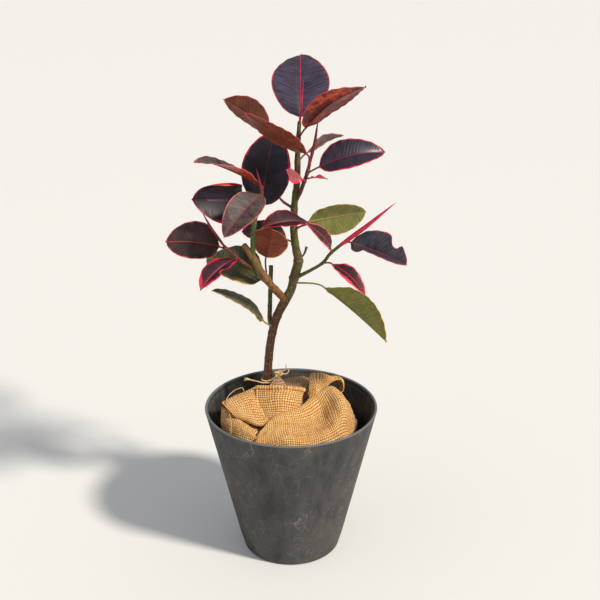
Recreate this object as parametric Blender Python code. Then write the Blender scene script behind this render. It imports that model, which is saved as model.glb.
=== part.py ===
"""Potted rubber plant: a planter, a nursery pot of soil inside it, a burlap cover and the plant.

Metres, +Z up. The origin is the middle of the planter's flat base, and -Y is the front.
"""

import math
from dataclasses import dataclass

import bmesh
import bpy
from mathutils import Vector

# Planter: a thin-walled tapered tub
PLANTER_HEIGHT = 0.300
PLANTER_RIM_RADIUS = 0.165
PLANTER_FOOT_RADIUS = 0.096
PLANTER_WALL = 0.005
PLANTER_FLOOR = 0.007
PLANTER_FOOT_ROUND = 0.006
PLANTER_RIM_ROUND = 0.0015
PLANTER_SIDES = 48

# Shallow ledge inside the rim
LEDGE_BELOW_RIM = 0.010
LEDGE_HEIGHT = 0.002
LEDGE_WIDTH = 0.002

# Nursery pot that stands inside the planter
NURSERY_FOOT_RADIUS = 0.084
NURSERY_RIM_RADIUS = 0.121
NURSERY_RIM_HEIGHT = 0.266
NURSERY_WALL = 0.0025
NURSERY_BAND_HEIGHT = 0.012
NURSERY_BAND_STEP = 0.002
NURSERY_RIM_WIDTH = 0.004
NURSERY_SIDES = 32

# Soil, and the burlap that covers it
SOIL_TOP = 0.256
SOIL_MOUND = 0.002
SOIL_EDGE_ROUND = 0.004
COVER_UNDERSIDE = 0.268
COVER_THICKNESS = 0.004
COVER_SKIRT_BOTTOM = 0.252
COVER_RADIUS = 0.129
COVER_CROWN = 0.052
COVER_ROUNDNESS = 2.4
COVER_TOP_RADIUS = 0.004
COVER_SIDES = 36
COVER_RINGS = 7

# Touching pieces keep this gap
GAP = 0.0003

# Plant
STEM_SIDES = 8
STEM_STEPS = 2
PETIOLE_RADIUS = 0.0017
PETIOLE_STEPS = 3
BLADE_THICKNESS = 0.0012
BLADE_STEPS = 8
BLADE_TIP = 0.0008
BLADE_BROADEST = 0.92
BLADE_FULLNESS = 0.62
FOLD_STARTS_BY = 0.25
STALK_THINS_BY = 0.2
SHEATH_SIDES = 6
TWINE_RADIUS = 0.0014


@dataclass(frozen=True)
class Leaf:
    """One leaf: its petiole runs from a stem's axis, at the height foot, to neck, where the blade starts.

    heading is the compass angle of the blade about +Z from +X, rise its angle above the
    horizontal and roll the turn of its upper side about the blade's own axis, in degrees.
    arch bows the midrib towards the upper side, as a share of the length, and fold lifts
    the two halves of the blade, in degrees.
    """

    name: str
    stem: str
    foot: float
    neck: tuple
    heading: float
    rise: float
    roll: float
    length: float
    width: float
    arch: float = 0.06
    fold: float = 15


# Each stem is a row of x, y, z and radius, from its root to its end
STEMS = {
    "trunk": (
        (-0.048, 0.030, 0.200, 0.0105),
        (-0.047, 0.030, 0.270, 0.0095),
        (-0.046, 0.030, 0.335, 0.0085),
        (-0.040, 0.030, 0.410, 0.0080),
        (-0.028, 0.030, 0.465, 0.0080),
        (-0.010, 0.026, 0.505, 0.0090),
        (0.000, 0.024, 0.525, 0.0082),
        (0.006, 0.022, 0.550, 0.0086),
        (0.014, 0.020, 0.583, 0.0088),
        (0.010, 0.020, 0.605, 0.0072),
        (0.006, 0.020, 0.640, 0.0066),
        (0.007, 0.020, 0.690, 0.0062),
        (0.012, 0.020, 0.735, 0.0060),
        (0.013, 0.020, 0.790, 0.0048),
        (0.016, 0.020, 0.840, 0.0032),
    ),
    "left_branch": (
        (-0.011, 0.026, 0.504, 0.0050),
        (-0.018, 0.018, 0.516, 0.0070),
        (-0.034, -0.002, 0.542, 0.0066),
        (-0.045, -0.014, 0.562, 0.0072),
        (-0.055, -0.020, 0.580, 0.0066),
        (-0.068, -0.028, 0.608, 0.0062),
        (-0.082, -0.034, 0.632, 0.0050),
    ),
    "left_low_shoot": (
        (-0.058, -0.022, 0.587, 0.0040),
        (-0.075, -0.025, 0.591, 0.0038),
        (-0.095, -0.031, 0.607, 0.0036),
        (-0.117, -0.040, 0.631, 0.0034),
    ),
    "left_tall_shoot": (
        (-0.067, -0.028, 0.607, 0.0044),
        (-0.066, -0.034, 0.640, 0.0044),
        (-0.063, -0.036, 0.675, 0.0044),
        (-0.054, -0.036, 0.705, 0.0044),
        (-0.049, -0.036, 0.730, 0.0036),
    ),
    "upper_right_twig": (
        (0.009, 0.020, 0.696, 0.0036),
        (0.017, 0.013, 0.714, 0.0034),
        (0.023, 0.006, 0.732, 0.0036),
        (0.029, 0.003, 0.750, 0.0034),
        (0.034, 0.000, 0.770, 0.0028),
    ),
    "lower_right_twig": (
        (0.006, 0.022, 0.549, 0.0034),
        (0.036, 0.012, 0.568, 0.0030),
        (0.058, 0.004, 0.585, 0.0030),
        (0.072, -0.004, 0.606, 0.0030),
        (0.091, -0.010, 0.625, 0.0026),
    ),
    "pruned_side_stem": (
        (-0.034, 0.030, 0.443, 0.0046),
        (-0.040, 0.044, 0.458, 0.0044),
        (-0.040, 0.049, 0.485, 0.0042),
        (-0.037, 0.050, 0.564, 0.0040),
    ),
    "short_twig": (
        (0.007, 0.020, 0.682, 0.0024),
        (-0.012, 0.016, 0.696, 0.0022),
        (-0.022, 0.012, 0.708, 0.0014),
    ),
    "dried_stub": (
        (0.013, 0.020, 0.583, 0.0024),
        (0.024, 0.018, 0.597, 0.0018),
        (0.029, 0.015, 0.612, 0.0026),
    ),
}

# The stem that each side stem grows from
GROWS_FROM = {
    "left_branch": "trunk",
    "left_low_shoot": "left_branch",
    "left_tall_shoot": "left_branch",
    "upper_right_twig": "trunk",
    "lower_right_twig": "trunk",
    "pruned_side_stem": "trunk",
    "short_twig": "trunk",
    "dried_stub": "trunk",
}

LEAVES = (
    Leaf("leaf_crown", "trunk", 0.832, (0.018, 0.032, 0.845), 90, 40, 0, 0.145, 0.105, 0.08, 10),
    Leaf("leaf_top_right", "trunk", 0.810, (0.026, 0.000, 0.832), -30, 35, -15, 0.140, 0.090, 0.08, 10),
    Leaf("leaf_top_left_back", "trunk", 0.790, (-0.035, 0.055, 0.810), 170, 35, 55, 0.105, 0.070, 0.08, 15),
    Leaf("leaf_top_left_front", "upper_right_twig", 0.763, (0.028, -0.020, 0.792),
         -170, 35, 30, 0.130, 0.065, 0.00, 5),
    Leaf("leaf_upright_dark", "left_tall_shoot", 0.692, (-0.052, 0.000, 0.693),
         45, 75, 25, 0.135, 0.095, 0.04, 10),
    Leaf("leaf_left_curled", "left_tall_shoot", 0.724, (-0.050, -0.022, 0.736),
         -170, 25, 25, 0.125, 0.065, 0.04, 20),
    Leaf("leaf_left_cupped", "left_tall_shoot", 0.671, (-0.085, 0.012, 0.700),
         -145, 10, -75, 0.105, 0.095, 0.10, 25),
    Leaf("leaf_front_glossy", "left_tall_shoot", 0.725, (-0.049, -0.056, 0.730),
         -130, -30, -30, 0.110, 0.060, 0.10, 25),
    Leaf("leaf_far_left", "left_low_shoot", 0.622, (-0.125, -0.036, 0.629),
         180, 5, -45, 0.095, 0.080, 0.10, 20),
    Leaf("leaf_left_hanging", "left_low_shoot", 0.606, (-0.097, -0.046, 0.610),
         -135, -25, -10, 0.090, 0.045, 0.10, 25),
    Leaf("leaf_left_green", "left_branch", 0.543, (-0.053, 0.010, 0.550),
         160, 15, -20, 0.115, 0.095, 0.10, 15),
    Leaf("leaf_low_left", "trunk", 0.447, (-0.052, 0.016, 0.467), -170, 35, -15, 0.115, 0.060, 0.08, 15),
    Leaf("leaf_centre", "trunk", 0.645, (0.031, -0.020, 0.670), -155, 0, -20, 0.090, 0.050, 0.08, 25),
    Leaf("leaf_centre_round", "left_branch", 0.558, (-0.045, 0.006, 0.595),
         -65, 65, -35, 0.070, 0.070, 0.05, 15),
    Leaf("leaf_centre_back", "trunk", 0.617, (-0.009, 0.040, 0.619), 165, 5, -25, 0.085, 0.060, 0.08, 20),
    Leaf("leaf_small_coral", "upper_right_twig", 0.737, (0.022, -0.015, 0.746),
         -140, 30, -60, 0.042, 0.025, -0.08, -10),
    Leaf("leaf_small_sliver", "upper_right_twig", 0.743, (0.034, -0.008, 0.746),
         -30, 5, 0, 0.036, 0.012),
    Leaf("leaf_right_upper", "upper_right_twig", 0.752, (0.050, 0.000, 0.764),
         10, 10, 35, 0.120, 0.070, 0.10, 20),
    Leaf("leaf_right_back", "trunk", 0.768, (0.030, 0.050, 0.779), 20, 20, -40, 0.075, 0.040),
    Leaf("leaf_right_olive", "trunk", 0.640, (0.034, 0.040, 0.653), 15, 5, -75, 0.110, 0.070, 0.02, -15),
    Leaf("leaf_right_small", "lower_right_twig", 0.607, (0.072, -0.020, 0.620),
         -140, 45, -80, 0.085, 0.025, 0.14, 25),
    Leaf("leaf_right_notched", "lower_right_twig", 0.620, (0.108, 0.000, 0.626),
         -10, -20, 35, 0.110, 0.080, 0.04, 45),
    Leaf("leaf_right_hanging", "lower_right_twig", 0.585, (0.075, -0.030, 0.595),
         -40, -30, 10, 0.085, 0.034, 0.10, 20),
    Leaf("leaf_low_right", "trunk", 0.541, (0.062, -0.005, 0.541), -25, -35, -45, 0.150, 0.110, 0.02, 30),
)

# New leaves still rolled in their sheaths: stem, height of the root, middle, tip and widest radius
SHEATHS = {
    "crown_sheath": ("trunk", 0.832, (0.019, 0.012, 0.862), (0.023, 0.016, 0.912), 0.0020),
    "left_shoot_sheath": ("left_low_shoot", 0.629, (-0.135, -0.066, 0.671), (-0.150, -0.083, 0.708), 0.0026),
    "upper_twig_sheath": ("upper_right_twig", 0.768, (0.043, 0.012, 0.806), (0.049, 0.020, 0.846), 0.0030),
    "lower_twig_sheath": ("lower_right_twig", 0.624, (0.134, -0.021, 0.662), (0.184, -0.030, 0.708), 0.0042),
    "tall_shoot_sheath": ("left_tall_shoot", 0.728, (-0.053, -0.040, 0.750), (-0.058, -0.041, 0.772), 0.0022),
}

# Twine tied round the foot of the trunk, above the burlap, from one loose end to the other
TWINE_START = ((-0.083, 0.018, 0.344, TWINE_RADIUS), (-0.064, 0.018, 0.339, TWINE_RADIUS))
TWINE_END = (
    (-0.032, 0.019, 0.347, TWINE_RADIUS),
    (-0.026, 0.020, 0.355, 0.0044),
    (-0.017, 0.022, 0.364, TWINE_RADIUS),
    (-0.008, 0.022, 0.374, 0.0010),
)
TWINE_MIDDLE = (-0.046, 0.030)
TWINE_TURN_RADIUS = 0.013
TWINE_LOW = 0.336
TWINE_HIGH = 0.342
TWINE_STEPS = 6

# Humps of the burlap over its dome: x, y, height and spread
COVER_HUMPS = (
    (0.052, 0.036, 0.014, 0.030),
    (-0.085, -0.030, 0.010, 0.034),
    (0.070, -0.030, 0.012, 0.050),
    (0.000, -0.085, 0.010, 0.040),
    (0.000, 0.075, 0.008, 0.030),
)

COLOURS = {
    "planter": ((0.055, 0.052, 0.050), 0.62),
    "nursery_pot": ((0.015, 0.015, 0.015), 0.5),
    "soil": ((0.030, 0.018, 0.010), 0.95),
    "burlap": ((0.55, 0.33, 0.12), 0.9),
    "twine": ((0.30, 0.20, 0.10), 0.9),
    "bark": ((0.12, 0.06, 0.03), 0.75),
    "green_shoot": ((0.12, 0.14, 0.03), 0.55),
    "leaf_dark": ((0.045, 0.020, 0.045), 0.35),
    "leaf_underside": ((0.150, 0.030, 0.020), 0.45),
    "leaf_green": ((0.100, 0.120, 0.035), 0.4),
    "sheath": ((0.450, 0.010, 0.050), 0.4),
}

LEAF_COLOURS = {
    "leaf_top_right": "leaf_underside",
    "leaf_top_left_back": "leaf_underside",
    "leaf_top_left_front": "leaf_underside",
    "leaf_centre_round": "leaf_underside",
    "leaf_left_green": "leaf_green",
    "leaf_low_left": "leaf_green",
    "leaf_right_olive": "leaf_green",
    "leaf_low_right": "leaf_green",
}

STEM_COLOURS = {
    "left_tall_shoot": "green_shoot",
    "lower_right_twig": "green_shoot",
}


def clear_scene():
    """Removes whatever the scene holds."""
    for found in list(bpy.data.objects):
        bpy.data.objects.remove(found, do_unlink=True)


def material(name):
    """Returns the named material, made once."""
    if name in bpy.data.materials:
        return bpy.data.materials[name]
    colour, roughness = COLOURS[name]
    made = bpy.data.materials.new(name)
    made.use_nodes = True
    shader = made.node_tree.nodes["Principled BSDF"]
    shader.inputs["Base Color"].default_value = (*colour, 1.0)
    shader.inputs["Roughness"].default_value = roughness
    shader.inputs["Metallic"].default_value = 0.0
    return made


def finished(name, mesh, finish, sharp_angle=40.0):
    """Makes the object of a bmesh and links it to the scene."""
    bmesh.ops.recalc_face_normals(mesh, faces=mesh.faces)
    if mesh.calc_volume(signed=True) < 0:
        bmesh.ops.reverse_faces(mesh, faces=mesh.faces)
    data = bpy.data.meshes.new(name)
    mesh.to_mesh(data)
    mesh.free()
    data.shade_smooth()
    data.set_sharp_from_angle(angle=math.radians(sharp_angle))
    data.materials.append(material(finish))
    made = bpy.data.objects.new(name, data)
    bpy.context.scene.collection.objects.link(made)
    return made


def lofted(rings):
    """A closed skin through rings of points that run the same way round, capped at both ends."""
    mesh = bmesh.new()
    loops = [[mesh.verts.new(point) for point in ring] for ring in rings]
    for lower, upper in zip(loops, loops[1:]):
        for i in range(len(lower)):
            j = (i + 1) % len(lower)
            mesh.faces.new((lower[i], lower[j], upper[j], upper[i]))
    mesh.faces.new(loops[0])
    mesh.faces.new(loops[-1])
    return mesh


def turned(profile, sides):
    """A closed body turned about Z from a profile of radius and height with both ends on the axis."""
    mesh = bmesh.new()
    points = [mesh.verts.new((radius, 0.0, height)) for radius, height in profile]
    edges = [mesh.edges.new(pair) for pair in zip(points, points[1:])]
    bmesh.ops.spin(mesh, geom=points + edges, cent=(0, 0, 0), axis=(0, 0, 1),
                   angle=2 * math.pi, steps=sides, use_merge=True)
    bmesh.ops.remove_doubles(mesh, verts=mesh.verts, dist=0.00001)
    return mesh


def rounded_corner(centre, radius, start, stop, steps=3):
    """Points of an arc in the plane of radius and height, angles in degrees."""
    angles = [math.radians(start + (stop - start) * i / steps) for i in range(steps + 1)]
    return [(centre[0] + radius * math.cos(a), centre[1] + radius * math.sin(a)) for a in angles]


def smooth_through(points, steps):
    """A Catmull-Rom curve through points of any dimension, with steps per span."""
    rows = [Vector(point) for point in points]
    rows = [2 * rows[0] - rows[1], *rows, 2 * rows[-1] - rows[-2]]
    curve = []
    for a, b, c, d in zip(rows, rows[1:], rows[2:], rows[3:]):
        for i in range(steps):
            t = i / steps
            curve.append(0.5 * (2 * b + (c - a) * t + (2 * a - 5 * b + 4 * c - d) * t * t
                                + (3 * b - a - 3 * c + d) * t * t * t))
    curve.append(rows[-2])
    return curve


def tube_rings(path, sides, upward=Vector((0.3, 1.0, 0.1))):
    """Rings of points round a path of x, y, z and radius."""
    centres = [Vector(row[:3]) for row in path]
    rings = []
    for i, row in enumerate(path):
        along = (centres[min(i + 1, len(path) - 1)] - centres[max(i - 1, 0)]).normalized()
        upward = (upward - upward.dot(along) * along).normalized()
        across = along.cross(upward)
        rings.append([centres[i] + row[3] * (math.cos(a) * across + math.sin(a) * upward)
                      for a in (2 * math.pi * k / sides for k in range(sides))])
    return rings


def clearance_of(stem):
    """A hidden copy of a stem, larger by the gap, for cutting what grows from it."""
    name = stem + "_clearance"
    if name in bpy.data.objects:
        return bpy.data.objects[name]
    path = smooth_through(STEMS[stem], STEM_STEPS)
    start = (path[0] - path[1]).resized(3).normalized() * GAP
    end = (path[-1] - path[-2]).resized(3).normalized() * GAP
    wider = [Vector((*row[:3], row[3] + GAP)) for row in path]
    wider[0] += Vector((*start, 0.0))
    wider[-1] += Vector((*end, 0.0))
    cutter = finished(name, lofted(tube_rings(wider, STEM_SIDES)), "bark")
    cutter.hide_render = True
    cutter.display_type = "WIRE"
    return cutter


def cut_clear(piece, stem):
    """Cuts a piece back from a stem, leaving the gap."""
    cut = piece.modifiers.new("clear_of_" + stem, "BOOLEAN")
    cut.operation = "DIFFERENCE"
    cut.solver = "EXACT"
    cut.object = clearance_of(stem)


def outer_radius(height):
    """The planter's outer radius at a height."""
    share = height / PLANTER_HEIGHT
    return PLANTER_FOOT_RADIUS + share * (PLANTER_RIM_RADIUS - PLANTER_FOOT_RADIUS)


def build_planter():
    """The tapered tub, with a rounded foot, a rounded rim and a shallow ledge inside the rim."""
    foot = PLANTER_FOOT_ROUND
    rim = PLANTER_HEIGHT
    soft = PLANTER_RIM_ROUND
    ledge = rim - LEDGE_BELOW_RIM
    profile = [(0.0, 0.0)]
    profile += rounded_corner((PLANTER_FOOT_RADIUS - foot, foot), foot, -90, -10)
    profile += [
        (outer_radius(rim / 2), rim / 2),
        (outer_radius(rim - soft), rim - soft),
        (outer_radius(rim) - soft, rim),
        (outer_radius(rim) - PLANTER_WALL + soft, rim),
        (outer_radius(rim) - PLANTER_WALL, rim - soft),
        (outer_radius(ledge) - PLANTER_WALL + LEDGE_WIDTH / 2, ledge),
        (outer_radius(ledge) - PLANTER_WALL - LEDGE_WIDTH / 2, ledge - LEDGE_HEIGHT),
        (outer_radius(rim / 2) - PLANTER_WALL, rim / 2),
        (outer_radius(PLANTER_FLOOR) - PLANTER_WALL, PLANTER_FLOOR),
        (0.0, PLANTER_FLOOR),
    ]
    return finished("planter", turned(profile, PLANTER_SIDES), "planter")


def nursery_radius(height):
    """The nursery pot's outer radius at a height."""
    share = (height - PLANTER_FLOOR) / (NURSERY_RIM_HEIGHT - PLANTER_FLOOR)
    return NURSERY_FOOT_RADIUS + share * (NURSERY_RIM_RADIUS - NURSERY_FOOT_RADIUS)


def build_nursery_pot():
    """The thin black pot that holds the soil, with a wider band under its rim."""
    bottom = PLANTER_FLOOR + GAP
    floor = bottom + NURSERY_WALL
    under_band = NURSERY_RIM_HEIGHT - NURSERY_BAND_HEIGHT
    below_band = nursery_radius(under_band) - NURSERY_BAND_STEP
    profile = [
        (0.0, bottom),
        (nursery_radius(bottom), bottom),
        (below_band, under_band),
        (NURSERY_RIM_RADIUS, under_band),
        (NURSERY_RIM_RADIUS, NURSERY_RIM_HEIGHT),
        (NURSERY_RIM_RADIUS - NURSERY_RIM_WIDTH, NURSERY_RIM_HEIGHT),
        (below_band - NURSERY_WALL, under_band),
        (nursery_radius(floor) - NURSERY_WALL, floor),
        (0.0, floor),
    ]
    return finished("nursery_pot", turned(profile, NURSERY_SIDES), "nursery_pot")


def build_soil():
    """The soil and root ball that fill the nursery pot, cut back from the trunk's foot."""
    bottom = PLANTER_FLOOR + GAP + NURSERY_WALL + GAP
    under_band = NURSERY_RIM_HEIGHT - NURSERY_BAND_HEIGHT
    below_band = nursery_radius(under_band) - NURSERY_BAND_STEP
    inset = NURSERY_WALL + 2 * GAP
    profile = [
        (0.0, bottom),
        (nursery_radius(bottom) - inset, bottom),
        (below_band - inset, under_band),
        (below_band - inset - SOIL_EDGE_ROUND, SOIL_TOP),
        (0.0, SOIL_TOP + SOIL_MOUND),
    ]
    soil = finished("potting_soil", turned(profile, NURSERY_SIDES), "soil")
    cut_clear(soil, "trunk")
    return soil


def cover_height(x, y):
    """The top of the burlap over a point of the soil."""
    dome = COVER_CROWN * (1 - (math.hypot(x, y) / COVER_RADIUS) ** COVER_ROUNDNESS)
    humps = sum(height * math.exp(-((x - hx) ** 2 + (y - hy) ** 2) / (2 * spread**2))
                for hx, hy, height, spread in COVER_HUMPS)
    return COVER_UNDERSIDE + COVER_THICKNESS + max(dome, 0.0) + humps


def build_burlap():
    """The burlap that covers the soil: a lumpy dome with a skirt outside the nursery pot's rim."""
    angles = [2 * math.pi * k / COVER_SIDES for k in range(COVER_SIDES)]

    def ring(radius, height=None):
        points = [(radius * math.cos(a), radius * math.sin(a)) for a in angles]
        return [Vector((x, y, cover_height(x, y) if height is None else height)) for x, y in points]

    inside = NURSERY_RIM_RADIUS + 3 * GAP
    rings = [
        ring(COVER_TOP_RADIUS, COVER_UNDERSIDE),
        ring(inside, COVER_UNDERSIDE),
        ring(inside, COVER_SKIRT_BOTTOM),
        ring(COVER_RADIUS, COVER_SKIRT_BOTTOM),
    ]
    rings += [ring(COVER_RADIUS * math.sin(math.pi / 2 * (1 - i / COVER_RINGS)))
              for i in range(COVER_RINGS)]
    rings.append(ring(COVER_TOP_RADIUS))
    cover = finished("burlap_cover", lofted(rings), "burlap", 60.0)
    cut_clear(cover, "trunk")
    return cover


def build_stem(name):
    """A trunk, branch or twig, cut back from the stem that it grows from."""
    path = smooth_through(STEMS[name], STEM_STEPS)
    stem = finished(name, lofted(tube_rings(path, STEM_SIDES)), STEM_COLOURS.get(name, "bark"))
    if name in GROWS_FROM:
        cut_clear(stem, GROWS_FROM[name])
    return stem


def on_stem(stem, height):
    """The point of a stem's axis at a height."""
    rows = STEMS[stem]
    for lower, upper in zip(rows, rows[1:]):
        if height <= upper[2]:
            break
    share = (height - lower[2]) / (upper[2] - lower[2])
    return Vector(lower[:3]).lerp(Vector(upper[:3]), share)


def blade_axes(leaf):
    """The blade's direction, and the direction that its upper side faces."""
    heading, rise, roll = (math.radians(angle) for angle in (leaf.heading, leaf.rise, leaf.roll))
    along = Vector((math.cos(rise) * math.cos(heading), math.cos(rise) * math.sin(heading), math.sin(rise)))
    upright = Vector((0, 0, 1))
    upright = (upright - upright.dot(along) * along).normalized()
    face = math.cos(roll) * upright + math.sin(roll) * along.cross(upright)
    return along, face


def bezier(points, t):
    """A point of the cubic curve with these four control points."""
    a, b, c, d = points
    s = 1 - t
    return s * s * s * a + 3 * s * s * t * b + 3 * s * t * t * c + t * t * t * d


def direction(points, t):
    """The way that the cubic curve with these four control points runs at t."""
    a, b, c, d = points
    s = 1 - t
    return (s * s * (b - a) + 2 * s * t * (c - b) + t * t * (d - c)).normalized()


def half_width(leaf, t):
    """Half the blade's width at a share of its length: broad, with a short drip tip."""
    body = math.sin(math.pi * t**BLADE_BROADEST) ** BLADE_FULLNESS if 0 < t < 1 else 0.0
    return max(leaf.width / 2 * body, PETIOLE_RADIUS if t < 0.5 else BLADE_TIP)


def leaf_ring(centre, along, face, half, thickness, fold):
    """Eight points round a blade: edge, upper side, edge, under side."""
    face = (face - face.dot(along) * along).normalized()
    across = along.cross(face)
    left = -math.cos(fold) * across + math.sin(fold) * face
    right = math.cos(fold) * across + math.sin(fold) * face
    skin = thickness / 2 * face
    return [
        centre + half * left,
        centre + half / 2 * left + skin,
        centre + skin,
        centre + half / 2 * right + skin,
        centre + half * right,
        centre + half / 2 * right - skin,
        centre - skin,
        centre + half / 2 * left - skin,
    ]


def petiole_ring(centre, along, face):
    """Eight points round the petiole, in the order of a blade's ring."""
    face = (face - face.dot(along) * along).normalized()
    across = along.cross(face)
    turns = [math.pi - k * math.pi / 4 for k in range(8)]
    return [centre + PETIOLE_RADIUS * (math.cos(a) * across + math.sin(a) * face) for a in turns]


def build_leaf(leaf):
    """One leaf: petiole and blade in one closed skin, cut back from its stem."""
    along, face = blade_axes(leaf)
    root = on_stem(leaf.stem, leaf.foot)
    neck = Vector(leaf.neck)
    tip = neck + leaf.length * along
    bow = 4 / 3 * leaf.arch * leaf.length * face
    midrib = (neck, neck + (tip - neck) / 3 + bow, neck + (tip - neck) * 2 / 3 + bow, tip)
    start = (midrib[1] - midrib[0]).normalized()
    reach = (neck - root).length
    petiole = (root, root + (neck - root) * 0.35, neck - start * reach * 0.3, neck)
    rings = []
    for i in range(PETIOLE_STEPS):
        t = i / PETIOLE_STEPS
        rings.append(petiole_ring(bezier(petiole, t), direction(petiole, t), face))
    for i in range(BLADE_STEPS + 1):
        t = (1 - math.cos(math.pi * i / BLADE_STEPS)) / 2
        stalk = max(0.0, 1 - t / STALK_THINS_BY)
        thickness = BLADE_THICKNESS + (PETIOLE_RADIUS * 2 - BLADE_THICKNESS) * stalk
        fold = math.radians(leaf.fold) * min(1.0, t / FOLD_STARTS_BY)
        centre = bezier(midrib, t)
        rings.append(leaf_ring(centre, direction(midrib, t), face, half_width(leaf, t), thickness, fold))
    made = finished(leaf.name, lofted(rings), LEAF_COLOURS.get(leaf.name, "leaf_dark"))
    cut_clear(made, leaf.stem)
    return made


def build_sheath(name):
    """A new leaf rolled in its red sheath: a slim spindle, cut back from its stem."""
    stem, foot, middle, tip, radius = SHEATHS[name]
    root = on_stem(stem, foot)
    path = smooth_through((
        (*root, radius * 0.7),
        (*(Vector(root).lerp(Vector(middle), 0.5)), radius),
        (*middle, radius * 0.9),
        (*(Vector(middle).lerp(Vector(tip), 0.6)), radius * 0.5),
        (*tip, radius * 0.12),
    ), 1)
    sheath = finished(name, lofted(tube_rings(path, SHEATH_SIDES)), "sheath", 70.0)
    cut_clear(sheath, stem)
    return sheath


def build_twine():
    """The twine's one turn round the foot of the trunk, with its knot and two loose ends."""
    turn = []
    for i in range(TWINE_STEPS + 1):
        angle = math.radians(360 * i / TWINE_STEPS - 90)
        turn.append((
            TWINE_MIDDLE[0] + TWINE_TURN_RADIUS * math.cos(angle),
            TWINE_MIDDLE[1] + TWINE_TURN_RADIUS * math.sin(angle),
            TWINE_LOW + (TWINE_HIGH - TWINE_LOW) * i / TWINE_STEPS,
            TWINE_RADIUS,
        ))
    path = smooth_through((*TWINE_START, *turn, *TWINE_END), 2)
    return finished("twine_tie", lofted(tube_rings(path, 8, Vector((0, 0, 1)))), "twine")


def main():
    clear_scene()
    plant = bpy.data.objects.new("plant", None)
    bpy.context.scene.collection.objects.link(plant)
    build_planter()
    build_nursery_pot()
    build_soil()
    build_burlap()
    build_twine()
    grown = [build_stem(name) for name in STEMS]
    grown += [build_leaf(leaf) for leaf in LEAVES]
    grown += [build_sheath(name) for name in SHEATHS]
    for piece in grown:
        piece.parent = plant


main()
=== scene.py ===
"""Looks of the potted rubber plant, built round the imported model.

Each sub-assembly is a class that builds its meshes and dresses them: the planter, the stems, the
leaves, the sheathed new leaves, the burlap over the soil and the twine. Metres, +Z up, -Y is the front.
"""

import logging
import math
from dataclasses import dataclass, field
from enum import Enum

import bpy
import numpy as np
from mathutils import Matrix, Vector, noise


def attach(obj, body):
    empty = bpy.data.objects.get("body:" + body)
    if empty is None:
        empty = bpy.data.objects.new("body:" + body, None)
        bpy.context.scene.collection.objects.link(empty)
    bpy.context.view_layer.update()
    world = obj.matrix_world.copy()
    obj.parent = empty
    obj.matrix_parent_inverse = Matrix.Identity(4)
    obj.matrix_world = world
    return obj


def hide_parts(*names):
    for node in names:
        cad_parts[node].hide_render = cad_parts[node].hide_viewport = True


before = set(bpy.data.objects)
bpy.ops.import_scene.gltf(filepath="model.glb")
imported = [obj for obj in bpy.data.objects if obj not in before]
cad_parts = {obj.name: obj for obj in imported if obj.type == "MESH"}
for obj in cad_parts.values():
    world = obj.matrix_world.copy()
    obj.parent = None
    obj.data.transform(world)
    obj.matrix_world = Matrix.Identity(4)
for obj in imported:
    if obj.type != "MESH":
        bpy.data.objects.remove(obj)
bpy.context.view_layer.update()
LOG = logging.getLogger("rubber_plant")

Colour = tuple[float, float, float, float]
Point = tuple[float, float, float]
Piece = bpy.types.Object
Material = bpy.types.Material
Socket = bpy.types.NodeSocket

ROOT_BODY = "root"
NOISE_SEED = 1


def srgb(red: int, green: int, blue: int) -> Colour:
    """Turns a display colour, 0 to 255 a channel, into a linear one.

    Args:
        red: Red, from 0 to 255.
        green: Green, from 0 to 255.
        blue: Blue, from 0 to 255.

    Returns:
        The linear colour, with an alpha of 1.
    """
    channels = [value / 255 for value in (red, green, blue)]
    linear = [c / 12.92 if c <= 0.04045 else ((c + 0.055) / 1.055) ** 2.4 for c in channels]
    return (linear[0], linear[1], linear[2], 1.0)


# --------------------------------------------------------------------------- shader maths


class Value:
    """A number socket in a node tree, with arithmetic that adds Math nodes."""

    def __init__(self, shop: "Shop", socket: Socket) -> None:
        """Wraps a socket.

        Args:
            shop: The material that the socket belongs to.
            socket: The socket to wrap.
        """
        self.shop = shop
        self.socket = socket

    def _math(self, operation: str, *others: "Value | float", flipped: bool = False) -> "Value":
        """Adds a Math node.

        Args:
            operation: The Math node's operation.
            others: The other operands.
            flipped: Whether the first other operand comes before this value.

        Returns:
            The node's result.
        """
        operands = [self, *others]
        if flipped:
            operands[0], operands[1] = operands[1], operands[0]
        node = self.shop.node("ShaderNodeMath", {"operation": operation}, dict(enumerate(operands)))
        return Value(self.shop, node.outputs[0])

    def __add__(self, other: "Value | float") -> "Value":
        """Adds."""
        return self._math("ADD", other)

    def __radd__(self, other: float) -> "Value":
        """Adds, reflected."""
        return self._math("ADD", other)

    def __sub__(self, other: "Value | float") -> "Value":
        """Subtracts."""
        return self._math("SUBTRACT", other)

    def __rsub__(self, other: float) -> "Value":
        """Subtracts, reflected."""
        return self._math("SUBTRACT", other, flipped=True)

    def __mul__(self, other: "Value | float") -> "Value":
        """Multiplies."""
        return self._math("MULTIPLY", other)

    def __abs__(self) -> "Value":
        """Takes the size of the value."""
        return self._math("ABSOLUTE")

    def sine(self) -> "Value":
        """Takes the sine, in radians."""
        return self._math("SINE")

    def power(self, exponent: float) -> "Value":
        """Raises to a power."""
        return self._math("POWER", exponent)

    def larger(self, other: "Value | float") -> "Value":
        """Takes the larger of two values."""
        return self._math("MAXIMUM", other)

    def rising(self, low: float, high: float) -> "Value":
        """Goes smoothly from 0 at low to 1 at high.

        Args:
            low: Where the result is 0.
            high: Where the result is 1. It may be less than low.

        Returns:
            The eased share.
        """
        node = self.shop.node(
            "ShaderNodeMapRange",
            {"interpolation_type": "SMOOTHSTEP"},
            {"Value": self, "From Min": low, "From Max": high},
        )
        return Value(self.shop, node.outputs[0])


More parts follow.
